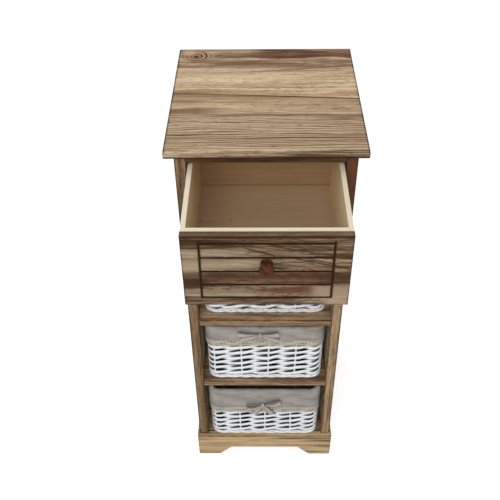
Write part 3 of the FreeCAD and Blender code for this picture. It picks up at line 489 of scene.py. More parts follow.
def drawer_front_material():
    low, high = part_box("drawer_front")
    board = Wood("timber_drawer_front", "x", FRONT, (-0.275, 0.662), 0.0066, seed=3.0, lines=0.72,
                 burn=0.55, zone=(0.25, 0.6), tilt=(0.26, 0.0))
    x, y, z = board.axes()
    loose = board.drawn(board.g, board.moved, 6.0, 70.0, 3.0, 0.6) - 0.5
    wander = z + loose * 0.022
    board.fleck(0.62, FRONT[2])
    # pale places the flame has passed over
    board.bands(wander, (184, 165, 137),
                (0.703, 0.015, 0.01, -0.03, 0.5), (0.701, 0.03, -0.084, -0.094, 0.16),
                (0.648, 0.012, 0.0, -0.04, 0.35), (0.632, 0.012, 0.07, 0.095, 0.55),
                (0.726, 0.009, 0.0, -0.05, 0.35))
    # scorched and reddish bands that run with the grain, and a pale one
    board.bands(wander, SCORCH,
                (0.738, 0.011, -0.01, -0.07, 0.85), (0.667, 0.012, -0.07, -0.095, 0.8),
                (0.683, 0.009, -0.095, -0.07, 0.55), (0.732, 0.007, 0.02, 0.06, 0.55),
                (0.715, 0.006, 0.08, 0.1, 0.7), (0.676, 0.011, 0.05, 0.095, 0.65),
                (0.632, 0.009, 0.075, 0.03, 0.5), (0.746, 0.006, -0.06, 0.04, 0.45))
    board.bands(wander, REDDISH,
                (0.653, 0.011, -0.02, 0.03, 0.65), (0.697, 0.005, 0.03, 0.09, 0.6),
                (0.676, 0.012, -0.09, -0.04, 0.25))
    board.bands(wander, (166, 146, 120), (0.649, 0.02, 0.056, 0.074, 0.75))
    # dark grain lines that run down to the right
    fine = z + loose * 0.006
    for start_x, start_z, slope, reach in ((-0.03, 0.7332, -0.35, 0.042), (0.004, 0.7375, -0.22, 0.088),
                                           (0.034, 0.7142, -0.25, 0.08)):
        end_x = start_x + reach
        slant = fine + x * -slope + (slope * start_x - start_z)
        part = x.step(start_x - 0.006, start_x + 0.006) * x.step(end_x + 0.006, end_x - 0.006)
        board.over(SCORCH, slant.near(0.0, 0.0024) * part * 0.75)
    # routed lines, burnt by the cutter, which has browned the face beside them
    foot = low.z + LINE_FOOT + LINE / 2
    head = high.z - LINE_HEAD - LINE / 2
    left = low.x + LINE_INSET + LINE / 2
    right = high.x - LINE_INSET - LINE / 2
    shake = (board.noise(board.place, 140.0) - 0.5) * 0.003
    across = x + shake
    tall = z.step(foot - 0.003, foot) * z.step(head + 0.004, head + 0.001)
    for place in (left, right):
        board.over(BROWNED, across.near(place, 0.0036) * tall * 0.65)
    height = z + shake
    wide = x.step(left - 0.002, left) * x.step(right + 0.002, right)
    for number in range(SLATS + 1):
        level = foot + (head - foot) * number / SLATS
        board.over(BROWNED, height.near(level, 0.003) * wide * 0.55)
    face = x.step(low.x + 0.004, low.x + 0.006) * x.step(high.x - 0.004, high.x - 0.006)
    face = face * z.step(low.z + 0.004, low.z + 0.006) * z.step(high.z - 0.003, high.z - 0.004)
    sunk = y.step(low.y + 0.0001, low.y + 0.0004)
    board.over((48, 29, 15), face * sunk * 0.95)
    board.over(BURNT, board.arris(low, high, 0.0028) * 0.85)
    # the top edge is browner than the face, and burnt along its front
    board.over((112, 86, 65), z.step(high.z - 0.0012, high.z - 0.0002, 0.0, 0.55))
    board.over(BURNT, board.radius(y - low.y, z - high.z).step(0.0016, 0.0032, 0.85, 0.0))
    dress("drawer_front", board.done())


def box_material(name, grain, axis, side, pith, share, tones=INNER):
    """A pale board of the drawer box, browner on its inner face, on one side of an axis."""
    board = Wood("timber_" + name, grain, PALE, pith, 0.0075, seed=len(name), lines=0.14, contrast=0.2)
    tan = board.mix(board.fibre.step(0.3, 0.7), *tones)
    depth = (board.axes()[axis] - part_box(name)[1 if side > 0 else 0][axis]) * side
    board.over(tan, depth.step(-0.0004, 0.0) * share)
    if name == "drawer_bottom":
        # a dark line along the drawer back, a gap line deepened with painted contact shade, and two sunk
        # nail heads
        x, y = board.axes()[:2]
        board.over((74, 52, 35), y.near(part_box("drawer_back")[0].y, 0.0035) * 0.45)
        for nail_x in (-0.1046, -0.0557):
            nail = board.radius(x - nail_x, y + 0.1326)
            board.over((50, 34, 26), nail.step(0.0009, 0.0018, 0.9, 0.0))
    dress(name, board.done())


def side_panel_material(name, sign):
    """Torched outside, bare inside."""
    low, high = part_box(name)
    inner = min(abs(low.x), abs(high.x))
    panel = Wood("timber_" + name, "z", POST_RIGHT, (sign * 0.19, 0.03), 0.0075, seed=5.0 + sign,
                 burn=0.45, warp=0.022)
    pale = panel.mix(panel.fibre.step(0.35, 0.7), *PALE[:2])
    panel.over(pale, (panel.axes()[0] * sign).step(inner + 0.0005, inner + 0.0001))
    dress(name, panel.done())


def steel_material():
    steel = Shader("bright_steel", Metallic=1.0)
    grain = steel.noise(steel.place, 900.0, 3.0)
    colour = steel.mix(grain, (150, 150, 148), (196, 196, 192))
    return steel.finish(colour, grain.step(0.2, 0.8, 0.28, 0.46), grain, 0.2, 0.05 * MM)


def wicker_material():
    """Split willow sprayed white from outside; the back of the weave is bare willow, darkened near black as
    painted shade.
    """
    paint = Shader("painted_willow", Specular_IOR_Level=0.25)
    x, y, z = paint.axes()
    runs = paint.noise(paint.vec(x * 55.0, y * 55.0, z * 900.0), 1.0, 3.0, 0.6)
    spots = paint.noise(paint.place, 240.0)
    painted_shade = paint.give("Attribute", output="Fac", attribute_name="painted_shade")
    colour = paint.mix(runs.step(0.35, 0.75), (248, 250, 252), (232, 235, 240))
    colour = paint.mix(spots.step(0.66, 0.8, 0.0, 0.45), colour, (196, 184, 160))
    # the marked back of the weave is painted near black: painted shade over bare willow
    colour = paint.mix(painted_shade * 0.96, colour, (24, 19, 15))
    return paint.finish(colour, runs.step(0.2, 0.8, 0.38, 0.58), runs, 0.4, 0.25 * MM)


def linen_material(name, light, shade, hem_stitch=False, selvedge_and_shade=False):
    """A plain weave of uneven yarn; the cloth's own flat measure carries the threads."""
    cloth = Shader(name, Specular_IOR_Level=0.1, Sheen_Weight=0.08, Sheen_Roughness=0.5)
    u, v = cloth.axes(cloth.give("TexCoord", output="UV"))[:2]

    def threads(first, second, pitch):
        return cloth.wave(cloth.vec(first, second, 0.0), pitch, "BANDS", "SIN")

    weft = cloth.noise(cloth.vec(u * 45.0, v * 1300.0, 0.0))
    warp = cloth.noise(cloth.vec(u * 1300.0, v * 45.0, 3.0))
    soft = cloth.noise(cloth.vec(u * 22.0, v * 60.0, 0.0))
    slub = weft * 0.5 + warp * 0.5
    weave = threads(u, v, 1.3 * MM) * threads(v, u, 1.3 * MM)
    colour = cloth.mix((slub * 0.5 + soft * 0.5).step(0.38, 0.62), light, shade)
    colour = cloth.mix(weave * 0.14, colour, (110, 102, 92))
    relief = slub * 0.6 + weave * -0.4
    if hem_stitch:
        dash = threads(u, 0.0, 3.2 * MM).step(0.35, 0.55)
        seam = v.near(5.5 * MM, 0.8 * MM)
        colour = cloth.mix(seam * dash * 0.6, colour, (96, 88, 80))
        relief = relief + seam * -0.8
    if selvedge_and_shade:
        # the ribbon's edges are browner, a selvedge tone that also paints shade along the bow's outlines
        edge = cloth.math("ABSOLUTE", v - RIBBON_MIDDLE)
        colour = cloth.mix(edge.step(0.62 * RIBBON_HALF, 0.8 * RIBBON_HALF, 0.0, 0.6), colour, (84, 72, 60))
    return cloth.finish(colour, slub.step(0.3, 0.7, 0.82, 0.96), relief, 0.5, 0.4 * MM)


def lace_material():
    thread = Shader("cotton_lace", Specular_IOR_Level=0.1, Sheen_Weight=0.08)
    twist = thread.noise(thread.place, 1500.0)
    soft = thread.noise(thread.place, 120.0)
    colour = thread.mix(twist.step(0.3, 0.7), (214, 207, 190), (186, 177, 160))
    colour = thread.mix(soft.step(0.4, 0.8, 0.0, 0.5), colour, (176, 165, 143))
    return thread.finish(colour, twist.step(0.3, 0.7, 0.75, 0.95), twist, 0.6, 0.3 * MM)


def knob_material():
    turned = Wood("turned_knob_wood", "y", TURNED, (0.004, 0.69), 0.0026, seed=2.0, lines=0.55, burn=0.3,
                  warp=0.004, sheen=0.34)
    # a dark line turned round the knob
    turned.over((48, 28, 20), turned.g.near(-0.3165, 0.0012) * 0.5)
    return turned.done()


# Mesh pieces

def joined(*columns):
    """Points from columns, which are arrays or single numbers."""
    return np.stack(np.broadcast_arrays(*columns), axis=-1)


def round_angles(sides):
    return np.arange(sides) * 2 * np.pi / sides


class Mesh:
    """Points and faces gathered for one piece."""

    def __init__(self):
        self.points = []
        self.faces = []
        self.marks = []
        self.flat = []

    def grid(self, points, closed_u=False, closed_v=False, mark=0.0, flat=0.0):
        """points[v][u] joined by quads; mark and flat give each point a value and its flat place."""
        rows, cols = points.shape[:2]
        base = sum(len(p) for p in self.points)
        self.points.append(points.reshape(-1, 3))
        self.marks.append(np.broadcast_to(mark, (rows, cols)).reshape(-1))
        self.flat.append(np.broadcast_to(flat, (rows, cols, 2)).reshape(-1, 2))
        for v in range(rows if closed_v else rows - 1):
            here = base + v * cols
            above = base + (v + 1) % rows * cols
            for u in range(cols if closed_u else cols - 1):
                on = (u + 1) % cols
                self.faces.append((here + u, here + on, above + on, above + u))
        return base

    def cap(self, indices):
        self.faces.append(tuple(indices))

    def make(self, name, material):
        mesh = bpy.data.meshes.new(name)
        mesh.from_pydata(np.concatenate(self.points).tolist(), [], self.faces)
        marks = np.concatenate(self.marks)
        # marks carry the painted shade at the back of the weave
        if marks.any():
            painted_shade = mesh.attributes.new("painted_shade", "FLOAT", "POINT")
            painted_shade.data.foreach_set("value", marks.astype(np.float32))
        flat = np.concatenate(self.flat)
        if flat.any():
            layer = mesh.uv_layers.new(name="flat")
            corner = np.zeros(len(mesh.loops), np.int32)
            mesh.loops.foreach_get("vertex_index", corner)
            layer.data.foreach_set("uv", flat[corner].astype(np.float32).reshape(-1))
        mesh.shade_smooth()
        mesh.materials.append(material)
        mesh.validate()
        piece = bpy.data.objects.new(name, mesh)
        SCENE.collection.objects.link(piece)
        return piece


def thicken(piece, thickness):
    """Gives a piece of cloth its thickness, half to each side."""
    body = piece.modifiers.new("thickness", "SOLIDIFY")
    body.thickness = thickness
    body.offset = 0.0
    return body


def belongs(piece, layer, part):
    """The piece rides with its basket and stands in for the basket's node of this part."""
    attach(piece, layer + "_basket")
    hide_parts("basket_" + layer + part)


class Plan:
    """A rectangle with round corners seen from above, walked anticlockwise from the front middle."""

    def __init__(self, low, high, radius):
        self.centre = ((low.x + high.x) / 2, (low.y + high.y) / 2)
        self.half = ((high.x - low.x) / 2, (high.y - low.y) / 2)
        self.radius = radius
        a = self.half[0] - radius
        b = self.half[1] - radius
        self.length = 4 * (a + b) + 2 * math.pi * radius
        # where each side's straight part starts, how long it is, and the quarter that it faces
        self.sides = (((0, -b), a, -1), ((a, -b), 2 * b, 0), ((a, b), 2 * a, 1), ((-a, b), 2 * b, 2),
                      ((-a, -b), a, 3))

    def walk(self, s):
        """The places at arc lengths s, from the centre, and the outward directions there."""
        s = np.mod(np.asarray(s, float), self.length)
        x, y, nx, ny = np.zeros((4, *s.shape))
        quarter = math.pi / 2
        start = 0.0
        for corner, side, facing in self.sides:
            on = s >= start
            t = s[on] - start
            straight = np.minimum(t, side)
            angle = facing * quarter + np.maximum(t - side, 0) / self.radius
            nx[on] = np.cos(angle)
            ny[on] = np.sin(angle)
            x[on] = corner[0] - math.sin(facing * quarter) * straight + self.radius * nx[on]
            y[on] = corner[1] + math.cos(facing * quarter) * straight + self.radius * ny[on]
            start += side + self.radius * quarter
        return x, y, nx, ny

    def at(self, s, out=0.0):
        """Points at arc lengths s, moved outwards by out."""
        x, y, nx, ny = self.walk(s)
        return self.centre[0] + x + nx * out, self.centre[1] + y + ny * out


def ripple(rng, s, length, low, high, count):
    """A smooth closed wave round the basket, from a few whole cycles, about -1 to 1."""
    total = np.zeros_like(s)
    for _ in range(count):
        cycles = rng.randint(low, high)
        total += rng.uniform(0.4, 1.0) * np.sin(2 * np.pi * cycles * s / length + rng.uniform(0, PHASES))
    return total / (0.9 * math.sqrt(count))


def strand(mesh, plan, s, out, z, half_height, half_thickness, sides=ROD_SIDES):
    """A flat strand round the basket; out is measured from the middle of the wall."""
    rows = []
    marks = []
    for angle in round_angles(sides):
        far = out + half_thickness * np.cos(angle)
        rows.append(joined(*plan.at(s, far), z + half_height * np.sin(angle)))
        # the inner half of each strand is marked for painted shade, near black
        marks.append(np.clip((0.1 * MM - far) / (1.2 * MM), 0, 1))
    mesh.grid(np.stack(rows), closed_u=True, closed_v=True, mark=np.stack(marks))


def unit(vectors):
    return vectors / np.maximum(np.linalg.norm(vectors, axis=1, keepdims=True), 1e-6)


def rod(mesh, points, radii, mark=0.0):
    """A round rod through points, which run mostly along one direction."""
    run = unit(np.gradient(points, axis=0))
    steep = np.abs(run[:, 2:3]) > 0.8
    side = unit(np.cross(run, np.where(steep, [[0.0, 1.0, 0.0]], [[0.0, 0.0, 1.0]])))
    lift = np.cross(side, run)
    rows = []
    for angle in round_angles(ROD_SIDES):
        rows.append(points + radii[0] * np.cos(angle) * side + radii[1] * np.sin(angle) * lift)
    base = mesh.grid(np.stack(rows), closed_v=True, mark=mark)
    count = len(points)
    end = base + ROD_SIDES * count
    mesh.cap(range(base, end, count))
    mesh.cap(range(end - 1, base, -count))


def weave(layer, seed):
    """A basket of flat strands twisted round stakes; gives back its outer outline."""
    rng = random.Random(seed)
    low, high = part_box("basket_" + layer)
    half_wall = Vector((WALL / 2, WALL / 2, 0.0))
    wall = Plan(low + half_wall, high - half_wall, CORNER - WALL / 2)
    length = wall.length
    step = length / STAKES
    mesh = Mesh()
    s = np.linspace(0, length, STAKES * POINTS_PER_STAKE, endpoint=False)
    first = FIRST_STAKE[layer]
    phase = np.pi * (s - first) / step
    # rows of two strands that twist between the stakes
    for row in range(int((high.z - low.z - FOOT_HEIGHT) / ROW_PITCH)):
        level = low.z + FOOT_HEIGHT + ROW_PITCH * (row + 0.5)
        for turn in (1, -1):
            swing = STRAND_SWING * turn * np.tanh(1.5 * np.cos(phase)) / math.tanh(1.5)
            rise = STRAND_RISE * turn * np.sign(np.sin(phase)) * np.abs(np.sin(phase)) ** 1.3
            wander = STRAND_WANDER * ripple(rng, s, length, 6, 34, 6)
            tall = STRAND_HALF_HEIGHT * (1 + 0.19 * ripple(rng, s, length, 3, 22, 4))
            strand(mesh, wall, s, swing, level + rise + wander, tall, STRAND_HALF_THICKNESS)
    # the foot: rods laid in a slow twist
    for number in range(FOOT_RODS):
        turn = 2 * np.pi * (FOOT_TURNS * s / length + number / FOOT_RODS)
        out = FOOT_SWING * np.cos(turn) + 0.15 * MM * ripple(rng, s, length, 5, 20, 3)
        z = low.z + FOOT_LEVEL + FOOT_RISE * np.sin(turn)
        strand(mesh, wall, s, out, z, FOOT_RADIUS, FOOT_RADIUS, sides=8)
    # the rim rod under the cloth
    strand(mesh, wall, s, 0 * s, high.z - RIM_DROP, RIM_HALF_HEIGHT, RIM_HALF_THICKNESS, sides=8)
    # stakes, which lean a little
    t = np.linspace(0, 1, 7)
    for number in range(STAKES):
        lean = rng.uniform(-STAKE_LEAN, STAKE_LEAN)
        x, y = wall.at(first + number * step + lean * (t - 0.5) * 2)
        z = low.z + 2 * MM + t * (high.z - low.z - 4 * MM)
        rod(mesh, joined(x, y, z), STAKE_RADII)
    # the base: sticks front to back, strands across, darkened part way toward near black as painted shade
    level = low.z + BASE_LEVEL
    sticks = np.linspace(low.x + BASE_STICK_INSET, high.x - BASE_STICK_INSET, BASE_STICKS)
    for x in sticks:
        y = np.linspace(low.y + BASE_END, high.y - BASE_END, 8)
        rod(mesh, joined(x, y, level), BASE_STICK_RADII, BASE_SHADE)
    for number, y in enumerate(np.arange(low.y + 9 * MM, high.y - 8 * MM, BASE_PITCH)):
        into_corner = max(CORNER - min(y - low.y, high.y - y), 0.0)
        reach = high.x - BASE_END - CORNER + math.sqrt(CORNER ** 2 - into_corner ** 2)
        x = np.linspace(-reach, reach, 41)
        swing = BASE_SWING if number % 2 else -BASE_SWING
        z = level + swing * np.cos(np.pi * x / (sticks[1] - sticks[0]))
        rod(mesh, joined(x, y, z), BASE_RADII, BASE_SHADE)
    belongs(mesh.make("wicker_" + layer, WICKER), layer, "")
    return Plan(low, high, CORNER)


def liner(layer, plan, seed):
    """A cloth bag that lines the basket and is turned out over its rim."""
    rng = random.Random(seed)
    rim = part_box("basket_" + layer)[1].z
    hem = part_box("basket_" + layer + "_lace")[1].z
    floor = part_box("basket_" + layer + "_liner")[0].z + 1 * MM
    length = plan.length
    s = np.linspace(0, length, LINER_COLUMNS, endpoint=False)
    slow = ripple(rng, s, length, 4, 11, 4)
    quick = ripple(rng, s, length, 14, 34, 5)
    creases = ripple(rng, s, length, 7, 19, 4)
    notch = np.zeros_like(s)
    for _ in range(NOTCHES):
        gap = np.abs(np.mod(s - rng.uniform(0, length) + length / 2, length) - length / 2)
        deep = rng.uniform(0.4, 1.0)
        wide = rng.uniform(3.0, 7.0) * MM
        notch = np.maximum(notch, deep * np.exp(-(gap / wide) ** 2))
    ease = 1 - 0.75 * np.clip(plan.walk(s)[3], 0, 1)
    profile = []
    # cuff, from the hem up, flatter at the back
    for t in np.linspace(0, 1, 13):
        loose = (1 - t) ** 0.8
        swell = loose * (0.55 + 0.45 * slow) + 0.22 * quick * np.sin(math.pi * t)
        swell = swell + 0.35 * np.sin(9.0 * t + 1.4 * creases) + 0.5 * t * creases - 0.9 * notch * t ** 3
        z = hem + (rim - CUFF_DROP - hem) * t
        z = z + loose * 0.9 * MM * slow - t * 0.4 * MM * (1 + quick) - 1.2 * MM * notch * t
        profile.append((np.maximum(CUFF_OUT + ease * swell * MM, CUFF_LEAST), z))
    # the fold over the rim
    for angle in np.linspace(0.25, math.pi - 0.2, 7):
        up = math.sin(angle)
        z = rim - FOLD_DROP + FOLD_RADIUS * up - 0.35 * MM * (1 + quick) * up - 2.4 * MM * notch * up
        profile.append((FOLD_OUT + FOLD_RADIUS * math.cos(angle), z))
    # the bag, from the rim down to the floor
    bag_top = rim - BAG_DROP
    for t in np.linspace(0.04, 1, 12):
        out = -BAG_INSET - t * (1 - t) * BAG_SAG * (1.2 + slow) - 0.3 * MM * (1 + quick) * t
        profile.append((out, bag_top + (floor + BAG_FOOT - bag_top) * t))
    for out, rise in ((-8.6, 4.0), (-10.5, 1.6), (-14.0, 0.3)):
        profile.append((out * MM + 0.4 * MM * quick, floor + rise * MM))
    rows = []
    flat = []
    run = np.zeros_like(s)
    for out, z in profile:
        here = joined(*plan.at(s, out), z)
        if rows:
            run = run + np.linalg.norm(here - rows[-1], axis=1)
        rows.append(here)
        flat.append(joined(s, run))
    # the bottom, drawn in to the middle
    centre = np.array([*plan.centre, floor])
    edge = rows[-1]
    for share in (0.75, 0.5, 0.25):
        here = centre + (edge - centre) * share
        here[:, 2] = floor + 0.3 * MM * (1 + np.sin(5 * share + 2 * creases))
        rows.append(here)
        run = run + 0.25 * np.linalg.norm(edge - centre, axis=1)
        flat.append(joined(s, run))
    mesh = Mesh()
    base = mesh.grid(np.stack(rows), closed_u=True, flat=np.stack(flat))
    last = base + (len(rows) - 1) * LINER_COLUMNS
    mesh.cap(range(last, last + LINER_COLUMNS))
    piece = mesh.make("liner_" + layer, LINEN)
    # the back of the cloth faces the wicker and is painted near black as shade seen through the weave
    piece.data.materials.append(SHADED_LINEN_BACK)
    thicken(piece, CLOTH).material_offset = 1
    belongs(piece, layer, "_liner")
    inner = length - 2 * math.pi * BAG_INSET
    wall = (rim - hem) + (rim - floor) + FOLD_LENGTH
    bottom = (2 * plan.half[0] - BOTTOM_LESS) * (2 * plan.half[1] - BOTTOM_LESS)
    wall + bottom / inner
    length * wall * 0.99 + bottom


def lace_ring(half, tall, fan):
    """The edge and the hole of one mesh of the lace, from its middle; a fan is round below."""
    angles = round_angles(LACE_SIDES)
    c = np.cos(angles)
    d = np.sin(angles)
    reach = np.minimum(half / np.maximum(np.abs(c), 1e-6), tall / np.maximum(np.abs(d), 1e-6))
    below = fan & (d < 0)
    across = (np.where(below, half, reach) * c, LACE_HOLE * half * c)
    up = (np.where(below, tall, reach) * d, LACE_HOLE * tall * d)
    return np.array(across), np.array(up)


def lace(layer, plan, seed):
    """Cotton edging sewn under the cuff: a tape, two rows of eyelets and a row of fans."""
    low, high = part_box("basket_" + layer + "_lace")
    count = round(plan.length / SCALLOP)
    width = plan.length / count
    head = high.z + LACE_TUCK
    drop = head - low.z
    mesh = Mesh()
    phase = random.Random(seed).uniform(0, PHASES)

    def lay(u, z):
        """Points on the lace, which stands off the basket in slow waves that grow downwards."""
        waves = 1 + np.sin(2 * np.pi * 13 * u / plan.length + phase)
        return joined(*plan.at(u, 0.75 * MM + (head - z) / drop * 0.5 * MM * waves), z)

    tape_low = high.z - LACE_TAPE
    u = np.linspace(0, plan.length, count, endpoint=False)
    mesh.grid(np.stack([lay(u, z) for z in (head, high.z, tape_low)]), closed_u=True)
    tall = (tape_low - low.z) / 3
    rings = [lace_ring(width / 2, tall / 2, row == 2) for row in range(3)]
    for number in range(count):
        # two eyelets, the lower one half a step on, and a fan at the edge
        for row, (across, up) in enumerate(rings):
            middle = (number + (1.0 if row == 1 else 0.5)) * width
            mesh.grid(lay(middle + across, tape_low - tall * (row + 0.5) + up), closed_u=True)
    piece = mesh.make("lace_" + layer, LACE)
    edit = bmesh.new()
    edit.from_mesh(piece.data)
    bmesh.ops.remove_doubles(edit, verts=edit.verts, dist=0.05 * MM)
    edit.to_mesh(piece.data)
    edit.free()
    thicken(piece, TRIM)
    belongs(piece, layer, "_lace")


def smooth_line(points, count):
    """A Catmull-Rom line through points."""
    points = np.asarray(points, float)
    padded = np.concatenate([[2 * points[0] - points[1]], points, [2 * points[-1] - points[-2]]])
    spans = len(points) - 1
    t = np.linspace(0, spans, count)
    k = np.minimum(t.astype(int), spans - 1)
    f = (t - k)[:, None]
    a, b, c, d = padded[k], padded[k + 1], padded[k + 2], padded[k + 3]
    bend = (2 * a - 5 * b + 4 * c - d) * f ** 2 + (3 * b - a - 3 * c + d) * f ** 3
    return 0.5 * (2 * b + (c - a) * f + bend)


def ribbon(mesh, origin, path, widths, across, count, cup=0.6):
    """A strip of cloth along path, in mm right, out and up from origin; gives back its length."""
    line = smooth_line(path, count)
    width = np.interp(np.linspace(0, 1, count), np.linspace(0, 1, len(widths)), widths)
    if across is None:
        course = np.gradient(line, axis=0)
        side = unit(joined(course[:, 2], 0.0, -course[:, 0]))
    else:
        side = np.array(across)
    rows = []
    flat = []
    run = np.concatenate([[0], np.cumsum(np.linalg.norm(np.diff(line, axis=0), axis=1))])
    for lane in np.linspace(-0.5, 0.5, 6):
        x, out, up = (line + side * (lane * width)[:, None]).T
        out = out + cup * (0.25 - lane ** 2) * 4 * np.minimum(width / 10.0, 1.0) * 0.5
        rows.append(joined(origin.x + x * MM, origin.y - out * MM, origin.z + up * MM))
        flat.append(joined(run * MM, RIBBON_MIDDLE + 2 * lane * RIBBON_HALF))
    mesh.grid(np.stack(rows), flat=np.stack(flat))
    return run[-1] * MM


def bow(layer):
    """A ribbon tied in a bow on the front of the cuff."""
    low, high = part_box("basket_" + layer + "_bow")
    shape = BOWS[layer]
    origin = Vector((shape["knot"][0] * MM, high.y + 0.2 * MM, low.z + shape["knot"][1] * MM))
    mesh = Mesh()
    used = 0.0
    for reach, rise, bulge in shape["loops"]:
        path = [(reach * r, bulge * b + out, rise * up) for r, b, out, up in LOOP]
        tilt = (-math.copysign(LOOP_TILT, rise * reach), LOOP_TILT, 1.0)
        used += ribbon(mesh, origin, path, LOOP_WIDTHS, tilt, 44)
    for end_x, end_z in shape["tails"]:
        path = [(end_x * 0.08, 1.6, -1.0), (end_x * 0.38, 3.6, end_z * 0.33),
                (end_x * 0.72, 3.0, end_z * 0.7), (end_x, 2.2, end_z)]
        used += ribbon(mesh, origin, path, TAIL_WIDTHS, None, 24, cup=1.4)
    used += ribbon(mesh, origin, KNOT, KNOT_WIDTHS, (1.0, 0.0, 0.0), 18)
    piece = mesh.make("bow_" + layer, RIBBON)
    thicken(piece, TRIM)
    belongs(piece, layer, "_bow")


def knob():
    """The turned knob: a flared neck, a rim and a low dome."""
    low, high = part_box("drawer_knob")
    axis_x = (low.x + high.x) / 2
    axis_z = (low.z + high.z) / 2
    deep = high.y - low.y
    full = (high.x - low.x) / 2
    turns = round_angles(KNOB_SIDES)
    rows = []
    for radius, depth in smooth_line([(r * full, y * deep) for r, y in KNOB], KNOB_ROWS):
        rows.append(joined(axis_x + radius * np.cos(turns), high.y - depth, axis_z + radius * np.sin(turns)))
    mesh = Mesh()
    base = mesh.grid(np.stack(rows), closed_u=True)
    last = base + (len(rows) - 1) * KNOB_SIDES
    mesh.cap(range(last, last + KNOB_SIDES))
    mesh.cap(reversed(range(base, base + KNOB_SIDES)))
    piece = mesh.make("turned_knob", knob_material())
    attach(piece, "drawer")
    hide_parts("drawer_knob")


# Floor, light and camera

def floor():
    """A pale floor that lights the object plainly and looks white to the eye."""
    side = np.linspace(-FLOOR_HALF, FLOOR_HALF, 13)
    mesh = Mesh()
    mesh.grid(joined(*np.meshgrid(side, side), -FLOOR_DROP))
    material = bpy.data.materials.new("pale_floor")
    nodes = Nodes(material)
    pale = nodes.give("BsdfDiffuse", Color=FLOOR_COLOUR)
    glow = nodes.give("Emission", Strength=FLOOR_GLOW)
    nodes.add("OutputMaterial", nodes.seen(pale, nodes.give("AddShader", pale, glow)))
    mesh.make("floor", material)


def studio():
    """Even light from all round, which looks white to the eye, and square lamps."""
    SCENE.world = bpy.data.worlds.new("studio")
    nodes = Nodes(SCENE.world)
    soft = nodes.give("Background", WHITE, WORLD_LIGHT)
    white = nodes.give("Background", WHITE)
    nodes.add("OutputWorld", nodes.seen(soft, white))
    for name, (place, aim, side, watts) in LAMPS.items():
        lamp = bpy.data.lights.new(name, "AREA")
        lamp.size = side
        lamp.energy = watts
        holder = bpy.data.objects.new(name, lamp)
        holder.location = place
        holder.rotation_euler = (Vector(aim) - Vector(place)).to_track_quat("-Z", "Y").to_euler()
        SCENE.collection.objects.link(holder)


def camera():
    pitch, yaw, roll = (math.radians(angle) for angle in PITCH_YAW_ROLL)
    turned = Matrix.Rotation(-yaw, 4, "Z") @ Matrix.Rotation(math.pi / 2 - pitch, 4, "X")
    lens = bpy.data.cameras.new("camera")
    lens.lens = lens.sensor_width * FOCAL_SHARE
    lens.clip_start = 0.01
    eye = bpy.data.objects.new("camera", lens)
    eye.matrix_world = Matrix.Translation(EYE) @ turned @ Matrix.Rotation(roll, 4, "Z")
    SCENE.collection.objects.link(eye)
    SCENE.camera = eye


# The boards

def starting(*starts):
    return [name for name in sorted(NODES) if name.startswith(starts)]


POST_CUT = {"lines": 0.3, "contrast": 0.7, "edge": 0.85, "width": 0.003, "flecks": 0.35}
PLINTH_CUT = {"lines": 0.06, "burn": 0.8, "contrast": 0.3, "edge": 0.85, "width": 0.0026}
STRIP_CUT = {"lines": 0.45, "edge": 0.1}

top_material()
drawer_front_material()
side_panel_material("side_panel_left", -1)
side_panel_material("side_panel_right", 1)
dress_all(["post_front_left", "post_back_left"], "z", POST_LEFT, (0.03, 0.05), 0.005, burn=0.6,
          tilt=(0.06, 0.03), **POST_CUT)
dress_all(["post_front_right"], "z", POST_RIGHT, (-0.03, 0.05), 0.005, burn=0.6, tilt=(0.05, 0.02),
          heat=(0.62, 0.72, 0.95), **POST_CUT)
dress_all(["post_back_right"], "z", POST_RIGHT, (0.03, 0.05), 0.005, burn=0.5, tilt=(0.05, 0.02),
          **POST_CUT)
dress_all(["side_rail_left", "side_rail_right"], "y", POST_LEFT, (0.04, -0.03), 0.0055, burn=0.4)
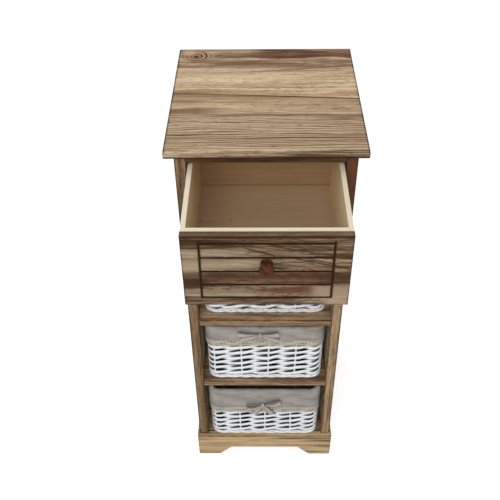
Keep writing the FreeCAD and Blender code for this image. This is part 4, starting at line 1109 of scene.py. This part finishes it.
# the rails sit in shade under the top and the drawer, painted into their darker tones
dress_all(["top_rail_front", "top_rail_back", "drawer_rail"], "x", SHADED_RAIL, (0.05, -0.03), 0.0055, burn=0.4)
dress_all(["shelf_lower", "shelf_upper", "bottom_shelf"], "x", SHELF, (0.04, -0.05), 0.006, lines=0.35,
          burn=0.5, edge=0.8, width=0.0026, contrast=0.8, flecks=0.3)
dress_all(["plinth_front"], "x", PLINTH, (0.04, 0.02), 0.0065, **PLINTH_CUT,
          bands=((0.058, 0.005, -0.02, 0.04, 0.75), (0.05, 0.004, 0.06, 0.11, 0.65),
                 (0.03, 0.006, 0.08, 0.13, 0.5)))
dress_all(["plinth_left", "plinth_right"], "y", PLINTH, (0.04, 0.02), 0.0065, **PLINTH_CUT)
dress_all(["back_panel"], "z", RAW, (0.05, 0.12), 0.0085, lines=0.4, edge=0.1)
box_material("drawer_side_left", "y", 0, 1, (-0.16, 0.7), 0.9, INNER_SIDE)
box_material("drawer_side_right", "y", 0, -1, (0.16, 0.7), 0.9, INNER_SIDE)
box_material("drawer_box_front", "x", 1, 1, (-0.25, 0.7), 0.6)
box_material("drawer_back", "x", 1, -1, (0.02, 0.7), 0.95, INNER_BACK)
box_material("drawer_bottom", "x", 2, 1, (-0.15, 0.57), 0.95)
dress_all(starting("drawer_runner", "drawer_guide", "drawer_stop", "shelf_cleat"), "y", RAW, (0.02, 0.03),
          0.0055, **STRIP_CUT)
dress_all(starting("corner_block"), "z", RAW, (0.02, 0.03), 0.0055, **STRIP_CUT)
STEEL = steel_material()
for node in sorted(NODES):
    if node.endswith("_pins") or node == "knob_screw":
        dress(node, STEEL)

# Baskets and knob

WICKER = wicker_material()
LINEN = linen_material("grey_linen", (174, 169, 162), (144, 138, 131), hem_stitch=True)
# the back of the liner, painted near black as shade
SHADED_LINEN_BACK = linen_material("grey_linen_back_painted_shade", (34, 31, 28), (26, 24, 21))
RIBBON = linen_material("linen_ribbon", (194, 188, 179), (170, 164, 155), selvedge_and_shade=True)
LACE = lace_material()
for turn, layer in enumerate(BOWS):
    plan = weave(layer, 11 + turn)
    liner(layer, plan, 31 + turn)
    lace(layer, plan, 51 + turn)
    bow(layer)
knob()

SCENE.view_settings.view_transform = "Standard"
floor()
studio()
camera()
